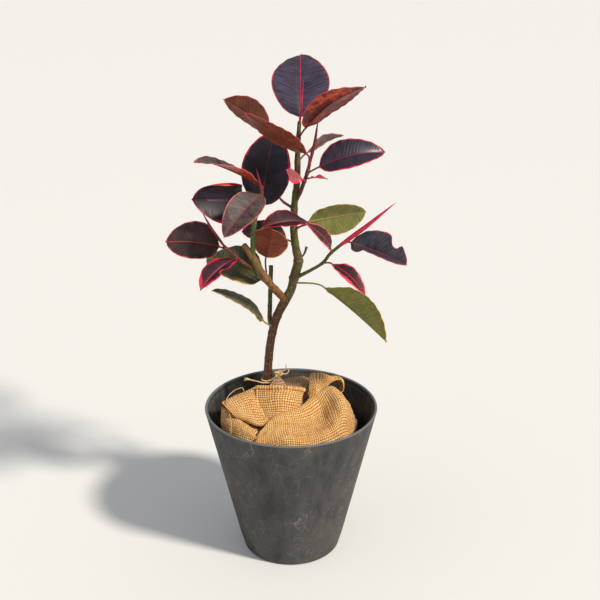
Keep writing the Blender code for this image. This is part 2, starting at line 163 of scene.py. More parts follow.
class Shop:
    """One material and the nodes it is mixed from."""

    def __init__(self, name: str) -> None:
        """Starts a material with a plain Principled shader.

        Args:
            name: The material's name.
        """
        self.material = bpy.data.materials.new(name)
        self.material.use_nodes = True
        self.tree = self.material.node_tree
        self.shader = self.tree.nodes["Principled BSDF"]
        self._coordinates = self.tree.nodes.new("ShaderNodeTexCoord")

    def node(self, kind: str, settings: dict | None = None, inputs: dict | None = None) -> bpy.types.Node:
        """Adds a node.

        Args:
            kind: The node's type.
            settings: Its settings by name.
            inputs: Values or links by socket name or number.

        Returns:
            The new node.
        """
        made = self.tree.nodes.new(kind)
        for key, setting in (settings or {}).items():
            setattr(made, key, setting)
        for key, value in (inputs or {}).items():
            self.feed(made.inputs[key], value)
        return made

    def feed(self, target: Socket,
             value: "Value | Socket | float | tuple") -> None:
        """Links a value to a socket, or sets it.

        Args:
            target: The socket to feed.
            value: A wrapped value, another socket, or a constant.
        """
        if isinstance(value, Value):
            value = value.socket
        if isinstance(value, Socket):
            self.tree.links.new(value, target)
        else:
            target.default_value = value

    def place(self) -> Socket:
        """Object coordinates."""
        return self._coordinates.outputs["Object"]

    def uv(self) -> Socket:
        """The piece's own UV map."""
        return self._coordinates.outputs["UV"]

    def axis(self, source: Socket, which: str) -> Value:
        """One component of a vector."""
        split = self.node("ShaderNodeSeparateXYZ", inputs={0: source})
        return Value(self, split.outputs[which])

    def attribute(self, name: str) -> Value:
        """A number stored on the mesh."""
        return Value(self, self.node("ShaderNodeAttribute", {"attribute_name": name}).outputs["Fac"])

    def stretched(self, source: Socket, scale: Point) -> Socket:
        """A vector with its components scaled."""
        return self.node("ShaderNodeMapping", inputs={"Vector": source, "Scale": scale}).outputs[0]

    def joined(self, x: Value | float, y: Value | float, z: Value | float = 0.0) -> Socket:
        """A vector of three values."""
        return self.node("ShaderNodeCombineXYZ", inputs={0: x, 1: y, 2: z}).outputs[0]

    def noise(self, source: Socket, scale: float, detail: float = 3.0,
              roughness: float = 0.55, distortion: float = 0.0) -> Value:
        """Soft noise from 0 to 1.

        Args:
            source: The coordinates.
            scale: How fine the noise is.
            detail: How many finer layers it has.
            roughness: How strong the finer layers are.
            distortion: How far it is warped.

        Returns:
            The noise.
        """
        made = self.node("ShaderNodeTexNoise", inputs={
            "Vector": source, "Scale": scale, "Detail": detail, "Roughness": roughness,
            "Distortion": distortion})
        return Value(self, made.outputs[0])

    def grain(self, source: Socket, scale: Point, detail: float = 3.0,
              roughness: float = 0.55) -> Value:
        """Noise that is finer along some axes than along others.

        Args:
            source: The coordinates.
            scale: How fine the noise is along each axis.
            detail: How many finer layers it has.
            roughness: How strong the finer layers are.

        Returns:
            The noise.
        """
        return self.noise(self.stretched(source, scale), 1.0, detail, roughness)

    def cells(self, source: Socket, scale: float, feature: str = "F1") -> Value:
        """Distance to scattered points, or to the borders between them."""
        made = self.node("ShaderNodeTexVoronoi", {"feature": feature}, {"Vector": source, "Scale": scale})
        return Value(self, made.outputs["Distance"])

    def mix(self, base: "Colour | Socket", top: "Colour | Socket",
            share: Value | float, blend: str = "MIX") -> Socket:
        """Lays one colour over another.

        Args:
            base: The colour underneath.
            top: The colour on top.
            share: How much of the top colour shows.
            blend: How the two combine.

        Returns:
            The mixed colour.
        """
        made = self.node("ShaderNodeMix", {"data_type": "RGBA", "blend_type": blend},
                         {0: share, 6: base, 7: top})
        return made.outputs[2]

    def finish(self, colour: "Colour | Socket", roughness: Value | float,
               height: Value | None = None, depth: float = 0.0005) -> Material:
        """Feeds the shader.

        Args:
            colour: The base colour.
            roughness: The roughness.
            height: The relief, from 0 to 1.
            depth: How deep the relief is, in metres.

        Returns:
            The finished material.
        """
        self.feed(self.shader.inputs["Base Color"], colour)
        self.feed(self.shader.inputs["Roughness"], roughness)
        if height is not None:
            relief = {"Height": height, "Distance": depth, "Strength": 1.0}
            bump = self.node("ShaderNodeBump", inputs=relief)
            self.feed(self.shader.inputs["Normal"], bump.outputs[0])
        return self.material


# --------------------------------------------------------------------------- modelling bench


class Bench:
    """Modelling steps that the sub-assemblies share."""

    @staticmethod
    def clear_selection() -> None:
        """Deselects everything and leaves edit mode."""
        if bpy.context.object and bpy.context.object.mode != "OBJECT":
            bpy.ops.object.mode_set(mode="OBJECT")
        bpy.ops.object.select_all(action="DESELECT")

    @classmethod
    def activate(cls, piece: Piece) -> None:
        """Selects one object alone and makes it active.

        Args:
            piece: The object.
        """
        cls.clear_selection()
        piece.select_set(True)
        bpy.context.view_layer.objects.active = piece

    @classmethod
    def turned(cls, name: str, profile: list[tuple[float, float]], sides: int) -> Piece:
        """Raises a round shell from a disc by extruding and scaling its edge ring by ring.

        Args:
            name: The piece's name.
            profile: Radius and height of each ring, from the disc up the outside and down the inside.
            sides: How many sides a ring has.

        Returns:
            The closed shell, whose last ring is filled.
        """
        cls.clear_selection()
        radius, height = profile[0]
        bpy.ops.mesh.primitive_circle_add(vertices=sides, radius=radius, fill_type="NGON",
                                          location=(0, 0, height))
        piece = bpy.context.object
        bpy.ops.object.transform_apply(location=True, rotation=True, scale=True)
        bpy.ops.object.mode_set(mode="EDIT")
        bpy.ops.mesh.select_all(action="SELECT")
        for wider, higher in profile[1:]:
            bpy.ops.mesh.extrude_region_move(TRANSFORM_OT_translate={"value": (0, 0, higher - height)})
            grow = wider / radius
            bpy.ops.transform.resize(value=(grow, grow, 1), center_override=(0, 0, higher))
            radius, height = wider, higher
        bpy.ops.mesh.select_all(action="SELECT")
        bpy.ops.mesh.normals_make_consistent(inside=False)
        bpy.ops.object.mode_set(mode="OBJECT")
        return cls.named(piece, name)

    @staticmethod
    def named(piece: Piece, name: str) -> Piece:
        """Names an object and its mesh.

        Args:
            piece: The object.
            name: Its new name.

        Returns:
            The object.
        """
        piece.name = name
        piece.data.name = name
        return piece

    @classmethod
    def smooth(cls, piece: Piece, angle: float = 40.0) -> None:
        """Shades a piece smooth below an angle in degrees."""
        cls.activate(piece)
        bpy.ops.object.shade_smooth_by_angle(angle=math.radians(angle))

    @classmethod
    def apply_all(cls, piece: Piece) -> None:
        """Applies every modifier of a piece.

        Args:
            piece: The piece.
        """
        cls.activate(piece)
        for modifier in list(piece.modifiers):
            bpy.ops.object.modifier_apply(modifier=modifier.name)

    @classmethod
    def thicken(cls, piece: Piece, thickness: float, offset: float,
                backed: bool = False) -> None:
        """Gives an open surface its thickness.

        Args:
            piece: The surface.
            thickness: The thickness.
            offset: -1 to grow behind the surface, 0 to grow on both sides.
            backed: Whether the back takes the piece's second material.
        """
        thick = piece.modifiers.new("thickness", "SOLIDIFY")
        thick.thickness = thickness
        thick.offset = offset
        thick.material_offset = 1 if backed else 0
        cls.apply_all(piece)

    @classmethod
    def tube(cls, name: str, path: list[tuple[Point, float]], roundness: int = 4,
             filled: bool = True) -> Piece:
        """Sweeps a round section along a path and turns it into a mesh.

        Args:
            name: The piece's name.
            path: Places and radii.
            roundness: The bevel's resolution; the section has twice that and four sides.
            filled: Whether the ends are closed.

        Returns:
            The tube.
        """
        cls.clear_selection()
        curve = bpy.data.curves.new(name, "CURVE")
        curve.dimensions = "3D"
        curve.bevel_depth = 1.0
        curve.bevel_resolution = roundness
        curve.use_fill_caps = filled
        spline = curve.splines.new("POLY")
        spline.points.add(len(path) - 1)
        for point, (place, radius) in zip(spline.points, path):
            point.co = (*place, 1.0)
            point.radius = radius
        piece = bpy.data.objects.new(name, curve)
        bpy.context.scene.collection.objects.link(piece)
        cls.activate(piece)
        bpy.ops.object.convert(target="MESH")
        piece = bpy.context.object
        for polygon in piece.data.polygons:
            polygon.use_smooth = True
        return cls.named(piece, name)

    @classmethod
    def join(cls, first: Piece, *others: Piece) -> Piece:
        """Joins objects into the first one.

        Args:
            first: The object that stays.
            others: The objects that it takes in.

        Returns:
            The first object.
        """
        cls.activate(first)
        for other in others:
            other.select_set(True)
        bpy.ops.object.join()
        return first

    @classmethod
    def grid(cls, name: str, across: int, along: int) -> Piece:
        """Adds a grid with a UV map, for a sheet or a blade that is shaped next.

        Args:
            name: The piece's name.
            across: How many cells a row has.
            along: How many rows there are.

        Returns:
            The flat grid, one metre wide.
        """
        cls.clear_selection()
        bpy.ops.mesh.primitive_grid_add(x_subdivisions=across, y_subdivisions=along, size=1.0,
                                        calc_uvs=True)
        return cls.named(bpy.context.object, name)

    @staticmethod
    def grid_shares(piece: Piece) -> np.ndarray:
        """Returns how far across and along the grid each point is, from 0 to 1.

        Args:
            piece: A grid that has not been shaped yet.

        Returns:
            One row of two shares for each point.
        """
        places = np.empty(len(piece.data.vertices) * 3)
        piece.data.vertices.foreach_get("co", places)
        return places.reshape(-1, 3)[:, :2] + 0.5

    @staticmethod
    def put(piece: Piece, places: np.ndarray) -> None:
        """Moves every point of a mesh."""
        piece.data.vertices.foreach_set("co", np.ascontiguousarray(places, dtype=np.float32).ravel())
        piece.data.update()

    @staticmethod
    def store(piece: Piece, name: str, values: np.ndarray) -> None:
        """Stores one number for each point of a mesh."""
        layer = piece.data.attributes.new(name, "FLOAT", "POINT")
        layer.data.foreach_set("value", np.ascontiguousarray(values, dtype=np.float32))


def smooth_through(points: list[tuple[float, ...]], steps: int) -> list[np.ndarray]:
    """Lays a smooth curve through points.

    Args:
        points: Points of any dimension.
        steps: How many pieces each span is cut into.

    Returns:
        The curve's points.
    """
    rows = [np.array(point, float) for point in points]
    rows = [2 * rows[0] - rows[1], *rows, 2 * rows[-1] - rows[-2]]
    curve = []
    for a, b, c, d in zip(rows, rows[1:], rows[2:], rows[3:]):
        for i in range(steps):
            t = i / steps
            curve.append(0.5 * (2 * b + (c - a) * t + (2 * a - 5 * b + 4 * c - d) * t * t
                                + (3 * b - a - 3 * c + d) * t**3))
    curve.append(rows[-2])
    return curve


def report(piece: Piece, slot: str, node: str, *materials: Material) -> None:
    """Dresses a finished piece, puts it on the plant's body and hides the CAD node that it stands for.

    Args:
        piece: The finished piece.
        slot: The record's material slot; not used.
        node: The CAD node that it replaces.
        materials: The materials that it takes, after those that it has.
    """
    for material in materials:
        piece.data.materials.append(material)
    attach(piece, ROOT_BODY)
    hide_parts(node)
    LOG.info("%s: %d faces", piece.name, len(piece.data.polygons))


# --------------------------------------------------------------------------- planter and soil


@dataclass(frozen=True)
class SlateFinish:
    """Matte charcoal with vertical streaks, mottling and thin pale scratches, and a painted highlight along
    the rim's top.
    """

    dark: Colour = srgb(24, 24, 24)
    light: Colour = srgb(70, 68, 66)
    pale: Colour = srgb(146, 144, 138)
    # Painted highlight: the bluish grey that the top of the rim is lightened to.
    rim: Colour = srgb(108, 112, 116)
    rim_height: float = 0.300

    def make(self) -> Material:
        """Mixes the finish.

        Returns:
            The finished material.
        """
        shop = Shop("slate_look")
        place = shop.place()
        streaks = shop.grain(place, (60.0, 60.0, 5.0), 4.0, 0.6)
        mottle = shop.noise(place, 14.0, 6.0, 0.62, 0.6)
        cloud = shop.grain(place, (7.0, 7.0, 4.0), 3.0)
        grain = shop.noise(place, 420.0, 2.0)
        warped = shop.node("ShaderNodeVectorMath", {"operation": "MULTIPLY_ADD"},
                           {0: shop.node("ShaderNodeTexNoise", inputs={"Vector": place, "Scale": 16.0,
                                                                      "Detail": 3.0}).outputs["Color"],
                            1: (0.10, 0.10, 0.10), 2: place}).outputs[0]
        scratch = shop.cells(warped, 17.0, "DISTANCE_TO_EDGE").rising(0.024, 0.0)
        scratch = scratch * shop.noise(place, 26.0, 4.0, 0.7).rising(0.44, 0.66) * mottle.rising(0.38, 0.60)
        curls = shop.cells(warped, 41.0, "DISTANCE_TO_EDGE").rising(0.040, 0.0)
        curls = curls * shop.noise(place, 22.0, 4.0, 0.7).rising(0.48, 0.66) * mottle.rising(0.42, 0.60)
        scratch = scratch.larger(curls * 0.8)
        chalk = (shop.noise(place, 33.0, 8.0, 0.75, 1.2).rising(0.56, 0.74)) * cloud.rising(0.40, 0.60)
        threads = shop.grain(place, (260.0, 260.0, 14.0), 3.0, 0.6)
        tone = (streaks * 0.40 + mottle * 0.45 + cloud * 0.35 + threads * 0.20).rising(0.50, 0.80)
        colour = shop.mix(self.dark, self.light, tone)
        colour = shop.mix(colour, self.pale, (scratch * 0.50).larger(chalk * 0.52))
        # Painted highlight: the top few millimetres of the rim are lightened where the lip catches the
        # light.
        edge = shop.axis(place, "Z").rising(self.rim_height - 0.0030, self.rim_height - 0.0012)
        colour = shop.mix(colour, self.rim, edge * 0.85)
        roughness = 0.52 + tone * 0.14 + grain * 0.10
        height = grain * 0.25 + mottle * 0.6 + streaks * 0.35 + scratch * 0.3
        return shop.finish(colour, roughness, height, 0.0006)


@dataclass(frozen=True)
class PlasticFinish:
    """Thin black nursery plastic with fine scuffs."""

    black: Colour = srgb(28, 28, 29)
    scuffed: Colour = srgb(54, 53, 52)

    def make(self) -> Material:
        """Mixes the finish.

        Returns:
            The finished material.
        """
        shop = Shop("nursery_plastic")
        scuffs = shop.grain(shop.place(), (40.0, 40.0, 400.0), 4.0).rising(0.45, 0.75)
        colour = shop.mix(self.black, self.scuffed, scuffs)
        return shop.finish(colour, 0.38 + scuffs * 0.25, scuffs, 0.0001)


@dataclass(frozen=True)
class SoilFinish:
    """Crumbly dark potting soil with paler bark chips."""

    dark: Colour = srgb(38, 26, 18)
    crumb: Colour = srgb(78, 56, 38)
    chip: Colour = srgb(120, 92, 62)

    def make(self) -> Material:
        """Mixes the finish.

        Returns:
            The finished material.
        """
        shop = Shop("potting_soil_crumbs")
        crumbs = shop.cells(shop.place(), 240.0)
        fine = shop.noise(shop.place(), 600.0, 4.0)
        colour = shop.mix(self.dark, self.crumb, crumbs.rising(0.1, 0.6) * fine)
        colour = shop.mix(colour, self.chip, shop.noise(shop.place(), 120.0, 2.0).rising(0.64, 0.68))
        return shop.finish(colour, 0.9, crumbs + fine * 0.5, 0.003)


@dataclass
class Planter:
    """The tapered tub with its nursery pot and soil."""

    height: float = 0.300
    rim_radius: float = 0.165
    foot_radius: float = 0.096
    wall: float = 0.005
    floor: float = 0.007
    foot_round: float = 0.006
    sides: int = 160

    def radius_at(self, height: float) -> float:
        """The tub's outer radius at a height."""
        return self.foot_radius + height / self.height * (self.rim_radius - self.foot_radius)

    def shell(self) -> Piece:
        """Raises the tub: rounded foot, straight side, soft rim and a shallow ledge inside.

        Returns:
            The tub.
        """
        rounding = [(self.foot_radius - self.foot_round * (1 - math.sin(a)),
                     self.foot_round * (1 - math.cos(a)))
                    for a in (math.radians(d) for d in range(0, 91, 15))]
        outside = [(self.radius_at(z), z) for z in (0.03, 0.09, 0.15, 0.21, 0.27, 0.294)]
        top = self.height
        lip = self.radius_at(top)
        rim = [
            (lip - 0.0002, top - 0.0016),
            (lip - 0.0007, top - 0.0004),
            (lip - 0.0015, top),
            (lip - self.wall + 0.0018, top),
            (lip - self.wall + 0.0007, top - 0.0004),
            (lip - self.wall, top - 0.0015),
        ]
        ledge = self.radius_at(top - 0.010) - self.wall
        inside = [
            (ledge + 0.0010, top - 0.010),
            (ledge - 0.0008, top - 0.0112),
            (ledge - 0.0014, top - 0.014),
        ]
        heights = (0.24, 0.15, 0.06, self.floor + 0.004)
        inside += [(self.radius_at(z) - self.wall - 0.0004, z) for z in heights]
        inside.append((self.radius_at(self.floor) - self.wall - 0.004, self.floor))
        piece = Bench.turned("slate_planter", rounding + outside + rim + inside, self.sides)
        Bench.smooth(piece, 32)
        return piece

    def build(self) -> None:
        """Builds and dresses the tub, and dresses the nursery pot and the soil."""
        report(self.shell(), "planter", "planter", SlateFinish(rim_height=self.height).make())
        for node, finish in (("nursery_pot", PlasticFinish()), ("potting_soil", SoilFinish())):
            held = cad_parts[node]
            held.data.materials.clear()
            held.data.materials.append(finish.make())


# --------------------------------------------------------------------------- stems


class StemKind(Enum):
    """The looks that a stem can have."""

    BARK = "bark"
    BRANCH = "branch"
    GREEN = "green"
    TWIG = "twig"


@dataclass(frozen=True)
class BarkFinish:
    """Young rubber plant bark: mottled, with pale dots and cross scars."""

    name: str
    dark: Colour
    light: Colour
    green: Colour
    green_from: float
    green_to: float
    dots: Colour = srgb(196, 164, 124)
    worn: Colour = srgb(150, 120, 96)

    def make(self) -> Material:
        """Mixes the finish.

        Returns:
            The finished material.
        """
        shop = Shop(self.name)
        place = shop.place()
        long_grain = shop.grain(place, (260.0, 260.0, 45.0), 5.0, 0.65)
        cross = shop.grain(place, (60.0, 60.0, 420.0), 3.0, 0.6)
        mottle = shop.noise(place, 60.0, 5.0, 0.6)
        colour = shop.mix(self.dark, self.light, (long_grain * 0.6 + cross * 0.5).rising(0.38, 0.72))
        greenness = (shop.axis(place, "Z") + (mottle - 0.5) * 0.16).rising(self.green_from, self.green_to)
        colour = shop.mix(colour, self.green, greenness * mottle.rising(0.30, 0.62) * 0.85)
        dots = shop.cells(shop.stretched(place, (1.0, 1.0, 1.5)), 210.0).rising(0.32, 0.18)
        dots = dots * shop.noise(place, 90.0, 2.0).rising(0.48, 0.58)
        colour = shop.mix(colour, self.dots, dots * 0.75)
        worn = shop.noise(place, 75.0, 4.0, 0.6).rising(0.62, 0.72)
        colour = shop.mix(colour, self.worn, worn * 0.5)
        height = long_grain * 0.5 + cross * 0.6 + dots * 0.35
        return shop.finish(colour, 0.55 + mottle * 0.2, height, 0.0009)


STEM_FINISHES = {
    StemKind.BARK: BarkFinish("trunk_bark", srgb(36, 20, 12), srgb(104, 62, 34), srgb(82, 92, 28),
                              0.44, 0.60),
    StemKind.BRANCH: BarkFinish("branch_bark", srgb(72, 40, 18), srgb(142, 92, 44), srgb(98, 92, 40),
                                0.52, 0.64),
    StemKind.GREEN: BarkFinish("green_shoot_skin", srgb(42, 44, 16), srgb(92, 92, 34), srgb(76, 92, 28),
                               0.50, 0.62),
    StemKind.TWIG: BarkFinish("red_twig_skin", srgb(62, 26, 22), srgb(112, 52, 38), srgb(84, 74, 42),
                              0.90, 1.10),
}


@dataclass(frozen=True)
class Stem:
    """One trunk, branch or twig.

    path is a row of x, y, z and radius; rings are the heights of its leaf scars; cut_end says that
    it was pruned, which leaves a pale face.
    """

    name: str
    node: str
    kind: StemKind
    path: tuple[tuple[float, float, float, float], ...]
    rings: tuple[float, ...] = ()
    cut_end: bool = False


STEMS = (
    Stem("trunk_stem", "trunk", StemKind.BARK, (
        (-0.048, 0.030, 0.200, 0.0105), (-0.047, 0.030, 0.270, 0.0095), (-0.046, 0.030, 0.335, 0.0085),
        (-0.040, 0.030, 0.410, 0.0080), (-0.028, 0.030, 0.465, 0.0080), (-0.010, 0.026, 0.505, 0.0090),
        (0.000, 0.024, 0.525, 0.0082), (0.006, 0.022, 0.550, 0.0086), (0.014, 0.020, 0.583, 0.0088),
        (0.010, 0.020, 0.605, 0.0072), (0.006, 0.020, 0.640, 0.0066), (0.007, 0.020, 0.690, 0.0062),
        (0.012, 0.020, 0.735, 0.0060), (0.013, 0.020, 0.790, 0.0048), (0.016, 0.020, 0.840, 0.0032)),
        (0.352, 0.386, 0.437, 0.472, 0.549, 0.584, 0.617, 0.645, 0.684, 0.712, 0.768, 0.791, 0.812)),
    Stem("left_branch_stem", "left_branch", StemKind.BRANCH, (
        (-0.011, 0.026, 0.504, 0.0050), (-0.018, 0.018, 0.516, 0.0070), (-0.034, -0.002, 0.542, 0.0066),
        (-0.045, -0.014, 0.562, 0.0072), (-0.055, -0.020, 0.580, 0.0066), (-0.068, -0.028, 0.608, 0.0062),
        (-0.082, -0.034, 0.632, 0.0050)), (0.532, 0.561, 0.586, 0.608), True),
    Stem("left_low_shoot_stem", "left_low_shoot", StemKind.TWIG, (
        (-0.058, -0.022, 0.587, 0.0044), (-0.075, -0.025, 0.591, 0.0038), (-0.095, -0.031, 0.607, 0.0036),
        (-0.117, -0.040, 0.631, 0.0034)), (0.606, 0.622)),
    Stem("left_tall_shoot_stem", "left_tall_shoot", StemKind.GREEN, (
        (-0.067, -0.028, 0.607, 0.0050), (-0.066, -0.034, 0.640, 0.0044), (-0.063, -0.036, 0.675, 0.0044),
        (-0.054, -0.036, 0.705, 0.0044), (-0.049, -0.036, 0.730, 0.0036)), (0.640, 0.671, 0.692, 0.716)),
    Stem("upper_right_twig_stem", "upper_right_twig", StemKind.TWIG, (
        (0.009, 0.020, 0.696, 0.0038), (0.017, 0.013, 0.714, 0.0034), (0.023, 0.006, 0.732, 0.0036),
        (0.029, 0.003, 0.750, 0.0034), (0.034, 0.000, 0.770, 0.0028)), (0.714, 0.737, 0.752)),
    Stem("lower_right_twig_stem", "lower_right_twig", StemKind.GREEN, (
        (0.006, 0.022, 0.549, 0.0042), (0.036, 0.012, 0.568, 0.0030), (0.058, 0.004, 0.585, 0.0030),
        (0.072, -0.004, 0.606, 0.0030), (0.091, -0.010, 0.625, 0.0026)), (0.585, 0.607, 0.620)),
    Stem("pruned_side_stem_stem", "pruned_side_stem", StemKind.GREEN, (
        (-0.034, 0.030, 0.443, 0.0056), (-0.040, 0.044, 0.458, 0.0046), (-0.040, 0.049, 0.485, 0.0042),
        (-0.037, 0.050, 0.564, 0.0040)), (0.485, 0.530), True),
    Stem("short_twig_stem", "short_twig", StemKind.TWIG, (
        (0.007, 0.020, 0.682, 0.0028), (-0.012, 0.016, 0.696, 0.0022), (-0.022, 0.012, 0.708, 0.0014)),
        (0.696, 0.702)),
    Stem("dried_stub_stem", "dried_stub", StemKind.BARK, (
        (0.013, 0.020, 0.583, 0.0028), (0.024, 0.018, 0.597, 0.0018), (0.029, 0.015, 0.612, 0.0026)),
        (0.604,)),
)
STEM_PATHS = {stem.node: stem.path for stem in STEMS}


def on_stem(node: str, height: float) -> Point:
    """The point of a stem's axis at a height.

    Args:
        node: The stem's CAD node.
        height: The height.

    Returns:
        The point.
    """
    rows = STEM_PATHS[node]
    lower, upper = next(pair for pair in zip(rows, rows[1:]) if height <= pair[1][2] or pair[1] is rows[-1])
    share = (height - lower[2]) / (upper[2] - lower[2])
    return tuple(a + share * (b - a) for a, b in zip(lower[:3], upper[:3]))


@dataclass
class Stems:
    """The trunk and all that branches from it.

    A leaf scar is a narrow ring on a wider swelling; bumps are the bark's grains and depths.
    """

    stems: tuple[Stem, ...] = STEMS
    step: float = 0.0022
    scar: float = 0.10
    scar_spread: float = 0.0016
    swell: float = 0.05
    wander: float = 0.05
    wander_grain: float = 60.0
    spans: int = 14
    bumps: tuple[tuple[float, float], ...] = ((130.0, 0.00035), (420.0, 0.00012))
    finishes: dict[StemKind, Material] = field(default_factory=dict)

    def stations(self, stem: Stem) -> list[tuple[Point, float]]:
        """Closely spaced places and radii, swollen at the leaf scars and a little uneven.

        Args:
            stem: The stem.

        Returns:
            Places and radii from its foot to its end.
        """
        places = []
        for row in smooth_through(list(stem.path), self.spans):
            radius = row[3]
            for ring in stem.rings:
                radius *= 1 + self.scar * math.exp(-((row[2] - ring) / self.scar_spread) ** 2)
                radius *= 1 + self.swell * math.exp(-((row[2] - ring) / (4 * self.scar_spread)) ** 2)
            radius *= 1 + self.wander * noise.noise(Vector(row[:3]) * self.wander_grain)
            places.append(((row[0], row[1], row[2]), radius))
        return places

    def pale_cut(self) -> Material:
        """The dried pale wood of a pruned end.

        Returns:
            The finished material.
        """
        shop = Shop("pruned_wood")
        rings = shop.noise(shop.place(), 700.0, 3.0)
        return shop.finish(shop.mix(srgb(150, 118, 82), srgb(206, 178, 136), rings), 0.8, rings, 0.0004)

    def build(self) -> None:
        """Builds and dresses every stem."""
        pale = self.pale_cut()
        for kind, finish in STEM_FINISHES.items():
            self.finishes[kind] = finish.make()
        for stem in self.stems:
            stations = self.stations(stem)
            piece = Bench.tube(stem.name, stations, 7)
            for vertex in piece.data.vertices:
                height = sum(noise.noise(vertex.co * grain) * depth for grain, depth in self.bumps)
                vertex.co += vertex.normal * height
            piece.data.materials.append(self.finishes[stem.kind])
            if stem.cut_end:
                piece.data.materials.append(pale)
                end = Vector(stations[-1][0])
                for polygon in piece.data.polygons:
                    if len(polygon.vertices) > 4 and (polygon.center - end).length < 0.004:
                        polygon.material_index = 1
            Bench.smooth(piece, 60)
            report(piece, "bark", stem.node)


# --------------------------------------------------------------------------- leaves


@dataclass(frozen=True)
class BladeFinish:
    """One side of a leaf.

    margin is the band's width in metres, patches how much of the blade the margin's colour takes in
    blotches, sheen the roughness, and veins how clearly the side veins show.
    """

    name: str
    middle: Colour
    tone: Colour
    margin_colour: Colour
    rib_colour: Colour
    margin: float = 0.0032
    patches: float = 0.35
    veins: float = 0.5
    sheen: float = 0.34
    rib: float = 0.0011
    gloss: float = 0.14
    vein_colour: Colour | None = None
    blotch: Colour | None = None
    blotch_share: float = 0.5

    def make(self) -> Material:
        """Mixes the finish from the distances stored on the blade.

        Returns:
            The finished material.
        """
        shop = Shop(self.name)
        place = shop.place()
        to_edge = shop.attribute("to_edge")
        to_rib = shop.attribute("to_rib")
        along = shop.attribute("along")
        broad = shop.noise(place, 34.0, 3.0, 0.55, 0.4)
        fine = shop.noise(place, 210.0, 4.0, 0.6)
        slant = along - to_rib * 0.42
        vein_noise = shop.noise(place, 55.0, 2.0)
        wave = ((slant + (vein_noise - 0.5) * 0.0022) * (2 * math.pi / 0.0062)).sine()
        veins = wave.rising(0.72, 1.0) * to_rib.rising(0.0, 0.004) * self.veins
        brush = shop.grain(shop.joined(slant, to_rib), (240.0, 40.0, 1.0), 4.0, 0.65)
        colour = shop.mix(self.middle, self.tone, (brush * 0.75 + broad * 0.45).rising(0.42, 0.78))
        if self.blotch is not None:
            ragged = (broad * 0.8 + brush * 0.35).rising(0.84 - self.blotch_share * 0.5,
                                                        1.02 - self.blotch_share * 0.5)
            colour = shop.mix(colour, self.blotch, ragged)
        colour = shop.mix(colour, self.vein_colour or self.tone, veins * 0.55)
        ragged_edge = to_edge + (0.5 - broad) * 0.010 * self.patches * 2 + (0.5 - brush) * 0.006
        margin = ragged_edge.rising(self.margin * 1.15, self.margin * 0.55)
        margin = margin.larger(to_edge.rising(0.0012, 0.0006))
        flecks = (shop.noise(place, 90.0, 3.0, 0.7).rising(0.66, 0.74) * to_edge.rising(0.016, 0.006))
        margin = margin.larger(flecks * self.patches)
        edge_colour = shop.mix(self.margin_colour, self.tone, fine.rising(0.5, 0.8) * 0.35)
        colour = shop.mix(colour, edge_colour, margin)
        rib = to_rib.rising(self.rib, self.rib * 0.45)
        colour = shop.mix(colour, self.rib_colour, rib * 0.9)
        roughness = self.sheen + fine * 0.10 + veins * 0.08
        height = 0.5 - veins * 0.5 + fine * 0.12 + brush * 0.15 - to_rib.rising(0.0018, 0.0) * 0.6
        material = shop.finish(colour, roughness, height, 0.0004)
        shop.shader.inputs["Specular IOR Level"].default_value = 0.34
        shop.shader.inputs["Coat Weight"].default_value = self.gloss
        shop.shader.inputs["Coat Roughness"].default_value = 0.25
        return material


